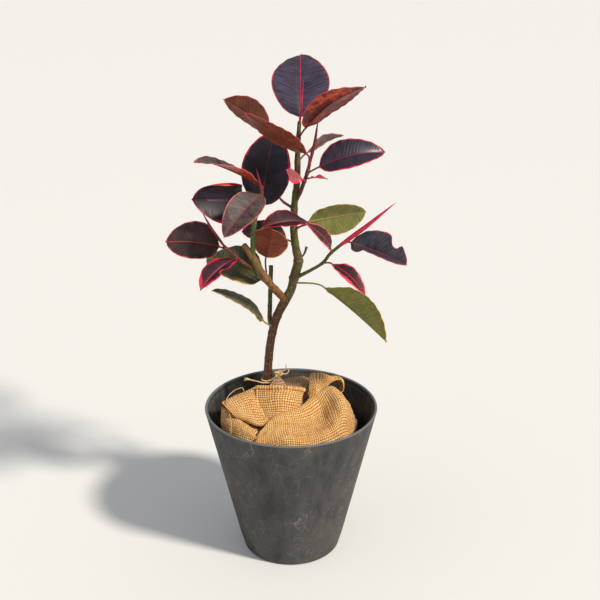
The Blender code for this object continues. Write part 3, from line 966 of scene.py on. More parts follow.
class Side(Enum):
    """The finishes that a leaf's sides can have."""

    RUBY = BladeFinish("ruby_top", srgb(26, 20, 32), srgb(54, 44, 64), srgb(206, 38, 66),
                       srgb(140, 34, 60), margin=0.0024, vein_colour=srgb(70, 52, 72))
    BLACK = BladeFinish("black_top", srgb(14, 10, 16), srgb(34, 26, 42), srgb(178, 28, 54),
                        srgb(96, 22, 44), margin=0.0024, patches=0.6, vein_colour=srgb(40, 30, 46),
                        veins=0.35, sheen=0.48, gloss=0.03)
    CROWN = BladeFinish("crown_top", srgb(34, 26, 38), srgb(72, 62, 86), srgb(206, 44, 70),
                        srgb(170, 40, 64), margin=0.0018, patches=0.30, vein_colour=srgb(92, 80, 102),
                        veins=0.7)
    # The grey top is partly the leaf's grey-green variegation and partly painted sheen: on the curled leaf
    # it stands in for the sky's light glancing off the dark waxy blade.
    GREY = BladeFinish("grey_sheen_top", srgb(52, 34, 36), srgb(104, 94, 90), srgb(206, 92, 92),
                       srgb(150, 60, 64), margin=0.0012, patches=0.2, vein_colour=srgb(104, 94, 92),
                       blotch=srgb(56, 20, 26), blotch_share=0.60, sheen=0.50, gloss=0.0)
    SLATE = BladeFinish("slate_top", srgb(34, 32, 40), srgb(66, 64, 76), srgb(196, 60, 76),
                        srgb(176, 70, 80), margin=0.0014, patches=0.3, vein_colour=srgb(84, 80, 90),
                        veins=0.6, sheen=0.40)
    BROWN = BladeFinish("brown_top", srgb(44, 28, 30), srgb(76, 52, 50), srgb(222, 84, 86),
                        srgb(190, 60, 72), margin=0.0018, patches=0.35, vein_colour=srgb(84, 54, 52),
                        sheen=0.48, gloss=0.05)
    CRIMSON_TOP = BladeFinish("crimson_top", srgb(38, 10, 26), srgb(78, 16, 38), srgb(208, 30, 64),
                              srgb(186, 54, 80), margin=0.0042, patches=1.0, veins=0.3,
                              blotch=srgb(150, 20, 46), blotch_share=0.30, sheen=0.50, gloss=0.04)
    MAROON_TOP = BladeFinish("maroon_top", srgb(34, 8, 18), srgb(66, 12, 26), srgb(190, 30, 60),
                             srgb(150, 34, 50), margin=0.0022, patches=0.5, veins=0.3, sheen=0.50,
                             gloss=0.04)
    DARK_CORAL = BladeFinish("dark_coral_top", srgb(40, 18, 28), srgb(74, 26, 40), srgb(228, 62, 82),
                             srgb(190, 60, 74), margin=0.0046, patches=0.9, veins=0.3, sheen=0.50,
                             gloss=0.04)
    CORAL = BladeFinish("coral_top", srgb(126, 54, 60), srgb(158, 96, 98), srgb(208, 50, 68),
                        srgb(150, 52, 50), margin=0.0030, patches=0.8, veins=0.2)
    GREEN = BladeFinish("green_top", srgb(40, 44, 22), srgb(84, 86, 44), srgb(206, 150, 82),
                        srgb(126, 116, 68), margin=0.0018, patches=0.45, vein_colour=srgb(96, 104, 66),
                        sheen=0.32)
    OLIVE = BladeFinish("olive_top", srgb(74, 80, 26), srgb(118, 114, 44), srgb(198, 152, 66),
                        srgb(154, 138, 70), margin=0.0016, patches=0.55, vein_colour=srgb(134, 128, 60),
                        sheen=0.36)
    MAROON_UNDER = BladeFinish("maroon_underside", srgb(74, 22, 20), srgb(116, 36, 26), srgb(190, 44, 44),
                               srgb(140, 40, 34), margin=0.0014, patches=0.5, veins=0.55,
                               vein_colour=srgb(146, 54, 38), blotch=srgb(208, 72, 24),
                               blotch_share=0.62, gloss=0.0, sheen=0.44)
    TAN_UNDER = BladeFinish("tan_underside", srgb(92, 42, 28), srgb(134, 70, 44), srgb(186, 70, 58),
                            srgb(120, 40, 34), margin=0.0012, patches=0.4, veins=0.55,
                            vein_colour=srgb(156, 90, 62), blotch=srgb(174, 80, 42),
                            blotch_share=0.16, gloss=0.0, sheen=0.46)
    RUST_UNDER = BladeFinish("rust_underside", srgb(96, 34, 22), srgb(146, 74, 40), srgb(196, 148, 80),
                             srgb(140, 34, 36), margin=0.0020, patches=0.5, veins=0.35,
                             vein_colour=srgb(150, 70, 44), sheen=0.50, gloss=0.05)
    ORANGE_UNDER = BladeFinish("orange_underside", srgb(128, 36, 22), srgb(184, 60, 28), srgb(214, 60, 52),
                               srgb(150, 40, 34), margin=0.0014, patches=0.4, veins=0.4, sheen=0.44)
    GREY_UNDER = BladeFinish("grey_underside", srgb(88, 66, 62), srgb(132, 104, 98), srgb(176, 110, 100),
                             srgb(150, 84, 78), margin=0.0012, patches=0.3, veins=0.5,
                             vein_colour=srgb(158, 128, 120), sheen=0.46)
    OLIVE_UNDER = BladeFinish("olive_underside", srgb(94, 100, 44), srgb(130, 128, 66), srgb(196, 158, 104),
                              srgb(176, 160, 104), margin=0.0012, patches=0.4, veins=0.7,
                              vein_colour=srgb(152, 146, 88), sheen=0.46)
    PETIOLE = BladeFinish("petiole_skin", srgb(98, 28, 28), srgb(146, 52, 40), srgb(98, 28, 28),
                          srgb(120, 40, 34), veins=0.0, sheen=0.42)
    GREEN_PETIOLE = BladeFinish("green_petiole_skin", srgb(120, 96, 44), srgb(158, 140, 70),
                                srgb(120, 96, 44), srgb(150, 130, 70), veins=0.0, sheen=0.42)


@dataclass(frozen=True)
class Bite:
    """A gap in a leaf's margin: which side, how far along, how deep and how long as shares."""

    side: int
    along: float
    depth: float
    spread: float


@dataclass(frozen=True)
class Leaf:
    """One leaf: its petiole runs from a stem's axis, at the height foot, to neck, where the blade starts.

    heading is the blade's compass angle about +Z from +X, rise its angle above the horizontal and
    roll the turn of its upper side about its own axis. arch bows the midrib towards the upper side,
    fold lifts its halves, twist turns the tip, cup curves the halves and ripple waves the margin.
    curl rolls one half's margin over: which side, from what share of the half, and how far in degrees.
    """

    name: str
    stem: str
    foot: float
    neck: Point
    heading: float
    rise: float
    roll: float
    length: float
    width: float
    arch: float = 0.06
    fold: float = 14.0
    top: Side = Side.RUBY
    under: Side = Side.MAROON_UNDER
    slot: str = "leaf_dark"
    twist: float = 0.0
    cup: float = 0.10
    ripple: float = 0.0012
    hook: float = 0.0
    curl: tuple[int, float, float] = (1, 1.0, 0.0)
    bites: tuple[Bite, ...] = ()


LEAVES = (
    Leaf("leaf_crown", "trunk", 0.832, (0.018, 0.032, 0.845), 90, 40, 0, 0.145, 0.105, 0.08, 10,
         Side.CROWN),
    Leaf("leaf_top_right", "trunk", 0.810, (0.026, 0.000, 0.832), -30, 35, -15, 0.140, 0.090, 0.08, 10,
         Side.RUBY, Side.MAROON_UNDER, "leaf_underside"),
    Leaf("leaf_top_left_back", "trunk", 0.790, (-0.035, 0.055, 0.810), 170, 35, 55, 0.105, 0.070,
         0.08, 15, Side.RUBY, Side.TAN_UNDER, "leaf_underside"),
    Leaf("leaf_top_left_front", "upper_right_twig", 0.763, (0.028, -0.020, 0.792), -170, 35, 30,
         0.130, 0.065, 0.00, 5, Side.RUBY, Side.TAN_UNDER, "leaf_underside"),
    Leaf("leaf_upright_dark", "left_tall_shoot", 0.692, (-0.052, 0.000, 0.693), 45, 75, 25, 0.135, 0.095,
         0.04, 10, Side.BLACK),
    Leaf("leaf_left_curled", "left_tall_shoot", 0.724, (-0.050, -0.022, 0.736), -170, 25, 25, 0.125, 0.065,
         0.04, 20, Side.GREY, Side.ORANGE_UNDER, twist=-38, hook=-0.05),
    Leaf("leaf_left_cupped", "left_tall_shoot", 0.671, (-0.085, 0.012, 0.700), -145, 10, -75, 0.105, 0.095,
         0.10, 25, Side.BLACK, Side.ORANGE_UNDER, curl=(1, 0.42, 150)),
    Leaf("leaf_front_glossy", "left_tall_shoot", 0.725, (-0.049, -0.056, 0.730), -130, -30, -30,
         0.110, 0.060, 0.10, 25, Side.GREY),
    Leaf("leaf_far_left", "left_low_shoot", 0.622, (-0.125, -0.036, 0.629), 180, 5, -45, 0.095, 0.080,
         0.10, 20, Side.BROWN),
    Leaf("leaf_left_hanging", "left_low_shoot", 0.606, (-0.097, -0.046, 0.610), -135, -25, -10,
         0.090, 0.045, 0.10, 25, Side.CRIMSON_TOP, bites=(Bite(-1, 0.48, 0.55, 0.07),)),
    Leaf("leaf_left_green", "left_branch", 0.543, (-0.053, 0.010, 0.550), 160, 15, -20, 0.115, 0.095,
         0.10, 15, Side.GREEN, Side.OLIVE_UNDER, "leaf_green"),
    Leaf("leaf_low_left", "trunk", 0.447, (-0.052, 0.016, 0.467), -170, 35, -15, 0.115, 0.060,
         0.08, 15, Side.GREEN, Side.OLIVE_UNDER, "leaf_green", twist=20, ripple=0.0010),
    Leaf("leaf_centre", "trunk", 0.645, (0.031, -0.020, 0.670), -155, 0, -20, 0.090, 0.050, 0.08, 25,
         Side.MAROON_TOP),
    Leaf("leaf_centre_round", "left_branch", 0.558, (-0.045, 0.006, 0.595), -65, 65, -35, 0.070, 0.070,
         0.05, 15, Side.GREEN, Side.RUST_UNDER, "leaf_underside"),
    Leaf("leaf_centre_back", "trunk", 0.617, (-0.009, 0.040, 0.619), 165, 5, -25, 0.085, 0.060,
         0.08, 20, Side.BLACK),
    Leaf("leaf_small_coral", "upper_right_twig", 0.737, (0.022, -0.015, 0.746), -140, 30, -60,
         0.042, 0.025, -0.08, -10, Side.CORAL, Side.CORAL),
    Leaf("leaf_small_sliver", "upper_right_twig", 0.743, (0.034, -0.008, 0.746), -30, 5, 0, 0.036, 0.012,
         top=Side.CORAL, under=Side.CORAL),
    Leaf("leaf_right_upper", "upper_right_twig", 0.752, (0.050, 0.000, 0.764), 10, 10, 35, 0.120, 0.070,
         0.10, 20, Side.RUBY),
    Leaf("leaf_right_back", "trunk", 0.768, (0.030, 0.050, 0.779), 20, 20, -40, 0.075, 0.040,
         top=Side.GREY, under=Side.GREY_UNDER),
    Leaf("leaf_right_olive", "trunk", 0.640, (0.034, 0.040, 0.653), 15, 5, -75, 0.110, 0.070,
         0.02, -15, Side.OLIVE, Side.OLIVE_UNDER, "leaf_green"),
    Leaf("leaf_right_small", "lower_right_twig", 0.607, (0.072, -0.020, 0.620), -140, 45, -80,
         0.085, 0.025, 0.14, 25, Side.BROWN, Side.TAN_UNDER),
    Leaf("leaf_right_notched", "lower_right_twig", 0.620, (0.108, 0.000, 0.626), -10, -20, 35,
         0.110, 0.080, 0.04, 45, Side.SLATE, bites=(Bite(-1, 0.68, 0.46, 0.080),)),
    Leaf("leaf_right_hanging", "lower_right_twig", 0.585, (0.075, -0.030, 0.595), -40, -30, 10,
         0.085, 0.034, 0.10, 20, Side.DARK_CORAL),
    Leaf("leaf_low_right", "trunk", 0.541, (0.062, -0.005, 0.541), -25, -35, -45, 0.150, 0.110,
         0.02, 30, Side.OLIVE, Side.OLIVE_UNDER, "leaf_green"),
)


@dataclass
class Foliage:
    """All the leaves."""

    leaves: tuple[Leaf, ...] = LEAVES
    across: int = 22
    along: int = 40
    thickness: float = 0.0009
    petiole: float = 0.0017
    rib_rise: float = 0.0007
    rib_spread: float = 0.0022
    ripple_length: float = 0.017
    rib_end: float = 0.94
    rib_points: int = 22
    neck_points: int = 10
    thinnest: float = 0.00022
    side_materials: dict[Side, Material] = field(default_factory=dict)

    def material(self, side: Side) -> Material:
        """Returns the finish of a side, mixed once.

        Args:
            side: The side.

        Returns:
            Its material.
        """
        if side not in self.side_materials:
            self.side_materials[side] = side.value.make()
        return self.side_materials[side]

    @staticmethod
    def axes(leaf: Leaf) -> tuple[np.ndarray, np.ndarray]:
        """Returns the blade's direction and the direction that its upper side faces.

        Args:
            leaf: The leaf.

        Returns:
            The two directions, each of length 1.
        """
        heading, rise, roll = (math.radians(angle) for angle in (leaf.heading, leaf.rise, leaf.roll))
        level = math.cos(rise)
        along = Vector((level * math.cos(heading), level * math.sin(heading), math.sin(rise)))
        upright = Vector((0, 0, 1))
        upright = (upright - upright.dot(along) * along).normalized()
        face = math.cos(roll) * upright + math.sin(roll) * along.cross(upright)
        return np.array(along), np.array(face)

    @staticmethod
    def half_width(leaf: Leaf, t: np.ndarray) -> np.ndarray:
        """Half the blade's width along its length: broad, with a short drip tip.

        Args:
            leaf: The leaf.
            t: Shares of its length, from 0 to 1.

        Returns:
            Half widths in metres.
        """
        body = np.sin(np.pi * np.clip(t / 0.985, 1e-6, 1 - 1e-6) ** 0.92) ** 0.62
        drip = 0.16 * np.clip((1.0 - t) / 0.09, 0, 1)
        body = np.where(t > 0.91, np.maximum(np.minimum(body, drip * 3.2), drip * 0.55), body)
        start = np.clip(t / 0.05, 0, 1)
        return leaf.width / 2 * body * (0.35 + 0.65 * start)

    def midrib(self, leaf: Leaf, t: np.ndarray) -> tuple[np.ndarray, np.ndarray, np.ndarray, np.ndarray]:
        """The midrib's places, directions, upper sides and sideways directions.

        Args:
            leaf: The leaf.
            t: Shares of its length, from 0 to 1.

        Returns:
            The four, with one row for each share.
        """
        direction, face = self.axes(leaf)
        neck = np.array(leaf.neck)
        tip = neck + leaf.length * direction
        bow = 4 / 3 * leaf.arch * leaf.length * face
        one, two = neck + (tip - neck) / 3 + bow, neck + (tip - neck) * 2 / 3 + bow
        s = 1 - t[:, None]
        u = t[:, None]
        place = s**3 * neck + 3 * s**2 * u * one + 3 * s * u**2 * two + u**3 * tip
        along = 3 * s**2 * (one - neck) + 6 * s * u * (two - one) + 3 * u**2 * (tip - two)
        along /= np.linalg.norm(along, axis=1)[:, None]
        place = place + face * (leaf.hook * leaf.length * np.clip((u - 0.75) / 0.25, 0, 1) ** 2)
        upper = face - (along @ face)[:, None] * along
        upper /= np.linalg.norm(upper, axis=1)[:, None]
        sideways = np.cross(along, upper)
        turn = np.radians(leaf.twist) * u
        upper, sideways = (np.cos(turn) * upper + np.sin(turn) * sideways,
                           np.cos(turn) * sideways - np.sin(turn) * upper)
        return place, along, upper, sideways

    def blade(self, leaf: Leaf, seed: int) -> Piece:
        """Shapes the blade from a grid, gives it its thickness and its two sides.

        Args:
            leaf: The leaf.
            seed: What shifts the waves of its margin.

        Returns:
            The blade.
        """
        piece = Bench.grid(leaf.name.replace("leaf_", "") + "_leaf", self.across, self.along)
        shares = Bench.grid_shares(piece)
        x = shares[:, 0] * 2 - 1
        t = (1 - np.cos(np.pi * shares[:, 1])) / 2 * 0.35 + shares[:, 1] * 0.65
        place, _, upper, sideways = self.midrib(leaf, t)
        half = self.half_width(leaf, t)
        for bite in leaf.bites:
            gone = bite.depth * np.exp(-(((t - bite.along) / bite.spread) ** 4))
            half = half * np.where(x * bite.side > 0, 1 - gone, 1.0)
        fold = np.radians(leaf.fold) * np.minimum(1, 4 * t)
        out = np.abs(x) * half
        lift = np.sin(fold) * out - leaf.cup * out * np.abs(x)
        lift = lift + self.rib_rise * (1 - np.exp(-out / self.rib_spread))
        wave = np.sin(t * leaf.length / self.ripple_length * 2 * np.pi + seed + np.sign(x) * 1.7)
        slow = np.sin(t * 7.0 + seed * 2.3 + np.sign(x))
        lift = lift + np.abs(x) ** 3 * (leaf.ripple * wave * 0.5 + leaf.ripple * 1.6 * slow)
        side, share, degrees = leaf.curl
        start = share * half
        over = np.clip(out - start, 0, None) * (x * side > 0) * np.sin(np.pi * np.clip(t, 0, 1)) ** 0.5
        turn = np.radians(degrees)
        bend = np.clip(half - start, 1e-5, None) / max(turn, 1e-4)
        angle = over / bend
        flat = out - over + bend * np.sin(angle) * (over > 0)
        lift = lift - np.sin(fold) * (out - flat) + bend * (1 - np.cos(angle))
        places = place + (np.sign(x) * np.cos(fold) * flat)[:, None] * sideways + lift[:, None] * upper
        Bench.put(piece, places)
        Bench.store(piece, "to_edge", half - out)
        Bench.store(piece, "to_rib", out)
        Bench.store(piece, "along", t * leaf.length)
        self.face_up(piece, upper)
        piece.data.materials.append(self.material(leaf.top))
        piece.data.materials.append(self.material(leaf.under))
        Bench.thicken(piece, self.thickness, -1.0, backed=True)
        return piece

    @staticmethod
    def face_up(piece: Piece, upper: np.ndarray) -> None:
        """Turns the blade's faces towards its upper side.

        Args:
            piece: The blade.
            upper: The direction of the upper side at each point.
        """
        piece.data.update()
        centre = len(piece.data.vertices) // 2
        polygon = min(piece.data.polygons,
                      key=lambda face: (face.center - piece.data.vertices[centre].co).length)
        if Vector(upper[centre]).dot(polygon.normal) < 0:
            piece.data.flip_normals()

    def stalk(self, leaf: Leaf) -> Piece:
        """The petiole, which runs on under the blade as its raised midrib.

        Args:
            leaf: The leaf.

        Returns:
            The petiole and midrib, as one tube.
        """
        t = np.linspace(0.0, self.rib_end, self.rib_points)
        place, along, upper, _ = self.midrib(leaf, t)
        root, neck = Vector(on_stem(leaf.stem, leaf.foot)), Vector(place[0])
        reach = (neck - root).length
        ahead = Vector(along[0])
        controls = (root, root + (neck - root) * 0.35, neck - ahead * reach * 0.3, neck)
        rows = []
        for i in range(self.neck_points):
            u = i / self.neck_points
            s = 1 - u
            spot = (controls[0] * s**3 + controls[1] * 3 * s * s * u + controls[2] * 3 * s * u * u
                    + controls[3] * u**3)
            rows.append((tuple(spot), self.petiole * (1.25 - 0.3 * min(1.0, u * 3))))
        size = min(1.0, leaf.length / 0.09)
        for i, spot in enumerate(place):
            radius = self.petiole * size * (0.95 - 0.80 * t[i])
            sunk = spot - upper[i] * (self.thickness * 0.7 + radius * 0.35 * min(1.0, t[i] * 12))
            rows.append((tuple(sunk), max(radius, self.thinnest)))
        stalk = Bench.tube(leaf.name + "_stalk", rows, 3)
        pale = leaf.slot == "leaf_green"
        stalk.data.materials.append(self.material(Side.GREEN_PETIOLE if pale else Side.PETIOLE))
        return stalk

    def build(self) -> None:
        """Builds and dresses every leaf."""
        for number, leaf in enumerate(self.leaves):
            blade = self.blade(leaf, number)
            piece = Bench.join(blade, self.stalk(leaf))
            Bench.smooth(piece, 65)
            report(piece, leaf.slot, leaf.name)


# --------------------------------------------------------------------------- sheathed new leaves


@dataclass(frozen=True)
class SheathFinish:
    """Smooth crimson skin with fine lengthwise streaks."""

    name: str
    dark: Colour
    bright: Colour

    def make(self) -> Material:
        """Mixes the finish.

        Returns:
            The finished material.
        """
        shop = Shop(self.name)
        streaks = shop.grain(shop.place(), (500.0, 500.0, 60.0), 4.0)
        broad = shop.noise(shop.place(), 60.0, 2.0)
        colour = shop.mix(self.dark, self.bright, (streaks * 0.5 + broad * 0.6).rising(0.35, 0.75))
        return shop.finish(colour, 0.34 + streaks * 0.1, streaks, 0.0003)


@dataclass(frozen=True)
class Sheath:
    """A new leaf still rolled: its path, its widest radius and whether it is bright or dark."""

    name: str
    stem: str
    foot: float
    middle: Point
    tip: Point
    radius: float
    bright: bool


SHEATHS = (
    Sheath("crown_sheath", "trunk", 0.832, (0.019, 0.012, 0.862), (0.023, 0.016, 0.912), 0.0020, True),
    Sheath("left_shoot_sheath", "left_low_shoot", 0.629, (-0.135, -0.066, 0.671), (-0.150, -0.083, 0.708),
           0.0026, False),
    Sheath("upper_twig_sheath", "upper_right_twig", 0.768, (0.043, 0.012, 0.806), (0.049, 0.020, 0.846),
           0.0030, False),
    Sheath("lower_twig_sheath", "lower_right_twig", 0.624, (0.134, -0.021, 0.662), (0.184, -0.030, 0.708),
           0.0042, True),
    Sheath("tall_shoot_sheath", "left_tall_shoot", 0.728, (-0.053, -0.040, 0.750), (-0.058, -0.041, 0.772),
           0.0022, False),
)


@dataclass
class Buds:
    """The sheathed new leaves."""

    sheaths: tuple[Sheath, ...] = SHEATHS
    thinnest: float = 0.0002

    def build(self) -> None:
        """Builds and dresses every sheath."""
        bright = SheathFinish("bright_sheath", srgb(168, 10, 44), srgb(220, 30, 72)).make()
        dark = SheathFinish("dark_sheath", srgb(88, 10, 20), srgb(146, 22, 38)).make()
        for sheath in self.sheaths:
            root = np.array(on_stem(sheath.stem, sheath.foot))
            middle, tip = np.array(sheath.middle), np.array(sheath.tip)
            size = sheath.radius
            stations = smooth_through([
                (*root, size * 0.75), (*(root * 0.5 + middle * 0.5), size), (*middle, size * 0.92),
                (*(middle * 0.5 + tip * 0.5), size * 0.60), (*tip, size * 0.07)], 8)
            rows = [(tuple(row[:3]), max(row[3], self.thinnest)) for row in stations]
            piece = Bench.tube(sheath.name.replace("_sheath", "_new_leaf"), rows, 5)
            report(piece, "sheath", sheath.name, bright if sheath.bright else dark)


# --------------------------------------------------------------------------- burlap and twine


MM = 0.001


@dataclass(frozen=True)
class Yarn:
    """A loose yarn or twine.

    spans is how finely its path is cut, uneven how much its radius varies and grain how quickly,
    stray how far it wanders off its path, and thin the share of its radius left at its end.
    """

    radius: float
    spans: int = 10
    uneven: float = 0.25
    grain: float = 900.0
    stray: float = 0.0
    stray_grain: float = 160.0
    thin: float = 1.0
    roundness: int = 2

    def lay(self, name: str, points: list[Point]) -> Piece:
        """Lays the yarn through points.

        Args:
            name: The piece's name.
            points: Places along it.

        Returns:
            The yarn.
        """
        curve = smooth_through(points, self.spans)
        rows = []
        for i, row in enumerate(curve):
            place = Vector(row)
            bumpy = 1 + self.uneven * noise.noise(place * self.grain)
            taper = 1 + (self.thin - 1) * i / (len(curve) - 1)
            shake = Vector(noise.noise_vector(place * self.stray_grain)) * self.stray
            rows.append((tuple(place + shake), self.radius * bumpy * taper))
        return Bench.tube(name, rows, self.roundness)


@dataclass(frozen=True)
class BurlapFinish:
    """Coarse plain-woven jute whose hollows between the yarns are dark: the real gaps of the weave, with
    painted shade in them.
    """

    name: str
    # Painted shade with the real gaps: the colour of the weave's hollows.
    gap: Colour
    yarn: Colour
    light: Colour
    warm: Colour
    pitch: float = 0.0044

    def make(self) -> Material:
        """Mixes the finish from the cloth's flat coordinates, in metres.

        Returns:
            The finished material.
        """
        shop = Shop(self.name)
        flat = shop.uv()
        wander = (shop.noise(flat, 60.0, 2.0) - 0.5) * 1.1
        turn = math.pi / self.pitch
        across = (shop.axis(flat, "X") * turn + wander).sine()
        along = (shop.axis(flat, "Y") * turn + wander).sine()
        over = (across * along).rising(-0.2, 0.2)
        wide, tall = abs(across), abs(along)
        weft = wide.power(0.4) * tall
        warp = wide * tall.power(0.4)
        relief = warp * over + weft * (1.0 - over)
        warp_tone = shop.grain(flat, (420.0, 24.0, 1.0), 2.0)
        weft_tone = shop.grain(flat, (24.0, 420.0, 1.0), 2.0)
        fibre = shop.noise(flat, 1500.0, 3.0, 0.7)
        tone = warp_tone * over + weft_tone * (1.0 - over)
        warmth = shop.noise(shop.place(), 22.0, 3.0)
        colour = shop.mix(self.yarn, self.warm, warmth.rising(0.40, 0.66) * 0.7)
        colour = shop.mix(colour, self.light, (tone * 0.8 + fibre * 0.3).rising(0.38, 0.74) * 0.85)
        # Painted shade: the weave's hollows go to the gap colour, which stands for the gaps between the
        # yarns and the shade that falls in them.
        colour = shop.mix(self.gap, colour, relief.rising(0.10, 0.58))
        height = relief * 0.85 + fibre * 0.15
        return shop.finish(colour, 0.92, height, 0.0009)


@dataclass(frozen=True)
class TwineFinish:
    """Pale twisted jute."""

    name: str
    dark: Colour
    light: Colour

    def make(self) -> Material:
        """Mixes the finish.

        Returns:
            The finished material.
        """
        shop = Shop(self.name)
        fibres = shop.grain(shop.place(), (900.0, 900.0, 500.0), 3.0, 0.7)
        broad = shop.noise(shop.place(), 120.0, 2.0)
        colour = shop.mix(self.dark, self.light, (fibres * 0.7 + broad * 0.4).rising(0.38, 0.68))
        return shop.finish(colour, 0.9, fibres, 0.0006)


class Cloth(Enum):
    """The burlap's colours: the golden cloth, and a darker, greyer copy of it that is painted shade for
    cloth lying under and behind the folds.
    """

    GOLDEN = BurlapFinish("golden_burlap", srgb(104, 54, 18), srgb(218, 158, 84), srgb(252, 218, 152),
                          srgb(210, 124, 44))
    # Painted shade: a darker, greyer copy of the golden burlap for cloth that lies in shade.
    WEATHERED = BurlapFinish("shaded_burlap", srgb(96, 68, 48), srgb(168, 132, 96), srgb(204, 172, 132),
                             srgb(156, 112, 74))


class Hold(Enum):
    """How a fold of cloth is held."""

    FOLDED = "folded"
    LAID = "laid"
    GATHERED = "gathered"


@dataclass(frozen=True)
class Fold:
    """One fold of the burlap.

    net is a net of points in millimetres, in rows from left to right. width and length are the flat
    size in metres, and crumple is how deep its creases are.
    """

    name: str
    net: tuple[tuple[tuple[int, int, int], ...], ...]
    width: float
    length: float
    hold: Hold = Hold.FOLDED
    crumple: float = 0.0016
    seed: float = 0.0
    cloth: Cloth = Cloth.GOLDEN


FOLDS = (
    Fold("burlap_front_fold", (
        ((-55, -80, 275), (-25, -40, 290), (15, -10, 290), (50, 20, 300), (80, 40, 305), (105, 50, 270)),
        ((-55, -100, 295), (-25, -60, 310), (15, -35, 310), (45, -5, 320), (75, 15, 330), (110, 30, 290)),
        ((-60, -115, 290), (-20, -80, 305), (20, -60, 295), (55, -30, 295), (90, -10, 330), (120, 5, 270)),
        ((-60, -125, 285), (-20, -105, 300), (25, -90, 290), (60, -65, 290), (100, -45, 320),
         (120, -20, 260)),
        ((-60, -125, 270), (-15, -125, 290), (30, -115, 285), (70, -95, 290), (100, -70, 295),
         (125, -40, 250)),
        ((-60, -120, 245), (-15, -130, 260), (30, -130, 260), (75, -110, 260), (110, -80, 260),
         (125, -45, 240)),
    ), 0.250, 0.150, crumple=0.0022, seed=1.0),
    Fold("burlap_hemmed_panel", (
        ((-65, 10, 330), (-45, 0, 335), (-15, -10, 340), (10, -5, 335), (25, 10, 325)),
        ((-65, -10, 320), (-45, -20, 325), (-20, -25, 330), (5, -20, 325), (20, -5, 315)),
        ((-60, -30, 305), (-40, -40, 310), (-20, -45, 315), (0, -40, 310), (15, -25, 300)),
        ((-50, -55, 295), (-35, -60, 300), (-20, -65, 300), (0, -60, 300), (15, -40, 295)),
        ((-45, -70, 285), (-30, -75, 285), (-15, -80, 290), (0, -70, 290), (15, -55, 285)),
    ), 0.090, 0.085, crumple=0.0010, seed=2.0),
    Fold("burlap_left_fold", (
        ((-130, -30, 310), (-110, -5, 310), (-90, 20, 315), (-65, 35, 320)),
        ((-130, -35, 320), (-110, -10, 320), (-90, 10, 320), (-65, 25, 325)),
        ((-125, -45, 320), (-105, -30, 325), (-85, -10, 325), (-65, 0, 320)),
        ((-120, -55, 320), (-95, -50, 320), (-75, -35, 320), (-60, -20, 310)),
        ((-110, -65, 315), (-90, -65, 315), (-70, -60, 310), (-50, -45, 300)),
        ((-100, -65, 305), (-80, -75, 305), (-60, -80, 300), (-40, -65, 295)),
        ((-100, -60, 300), (-80, -70, 300), (-60, -70, 290), (-40, -60, 285)),
    ), 0.075, 0.110, crumple=0.0022, seed=3.0),
    Fold("burlap_left_under_fold", (
        ((-125, -20, 300), (-105, -35, 300), (-80, -55, 290), (-55, -75, 280)),
        ((-130, -30, 310), (-110, -50, 305), (-90, -75, 300), (-60, -95, 285)),
        ((-130, -40, 300), (-115, -65, 300), (-90, -90, 300), (-60, -105, 285)),
        ((-130, -55, 285), (-110, -80, 290), (-85, -100, 290), (-55, -115, 285)),
        ((-125, -65, 265), (-105, -90, 270), (-80, -110, 270), (-50, -125, 270)),
        ((-120, -60, 245), (-100, -85, 245), (-75, -110, 245), (-50, -120, 245)),
    ), 0.100, 0.100, crumple=0.0020, seed=4.0),
    Fold("burlap_rolled_corner", (
        ((35, 50, 320), (40, 60, 320), (60, 65, 320), (80, 65, 320), (90, 55, 315)),
        ((35, 40, 335), (40, 50, 340), (60, 50, 340), (75, 50, 335), (90, 50, 335)),
        ((35, 20, 330), (40, 30, 340), (60, 30, 345), (75, 35, 340), (95, 35, 335)),
        ((35, 5, 320), (45, 10, 330), (55, 15, 335), (65, 25, 335), (80, 30, 335)),
        ((35, -10, 310), (45, -10, 315), (50, 0, 320), (60, 10, 320), (65, 25, 320)),
        ((30, -20, 295), (40, -20, 300), (45, -10, 310), (55, 0, 310), (65, 15, 305)),
    ), 0.060, 0.100, crumple=0.0018, seed=5.0),
    Fold("burlap_corner_lip", (
        ((80, 80, 320), (90, 70, 320), (95, 60, 310), (90, 55, 300)),
        ((90, 50, 335), (100, 45, 330), (100, 35, 315), (95, 25, 310)),
        ((90, 40, 340), (100, 30, 330), (100, 20, 320), (90, 15, 315)),
    ), 0.045, 0.045, crumple=0.0008, seed=6.0),
    # Painted shade: the back hump takes the shaded copy of the burlap.
    Fold("burlap_back_hump", (
        ((-60, 100, 270), (-20, 110, 270), (20, 110, 270), (60, 100, 270)),
        ((-55, 80, 300), (-15, 85, 310), (20, 90, 315), (55, 80, 305)),
        ((-50, 60, 305), (-15, 60, 315), (15, 60, 320), (45, 55, 315)),
        ((-45, 40, 310), (-15, 35, 320), (15, 40, 320), (40, 35, 315)),
        ((-40, 15, 305), (-15, 10, 315), (15, 15, 310), (35, 10, 290)),
        ((-35, 0, 295), (-10, -5, 305), (15, -5, 300), (30, -10, 275)),
    ), 0.100, 0.145, Hold.LAID, seed=7.0, cloth=Cloth.WEATHERED),
    # Painted shade: the tied gather takes the shaded copy of the burlap.
    Fold("burlap_tied_gather", (
        ((-45, 0, 330), (-30, -5, 335), (-20, -5, 335), (-5, 0, 330)),
        ((-40, 5, 340), (-30, 0, 340), (-20, 0, 340), (-10, 5, 340)),
        ((-28, 16, 352), (-26, 15, 352), (-24, 15, 352), (-22, 16, 352)),
    ), 0.030, 0.030, Hold.GATHERED, crumple=0.0012, seed=8.0, cloth=Cloth.WEATHERED),
)


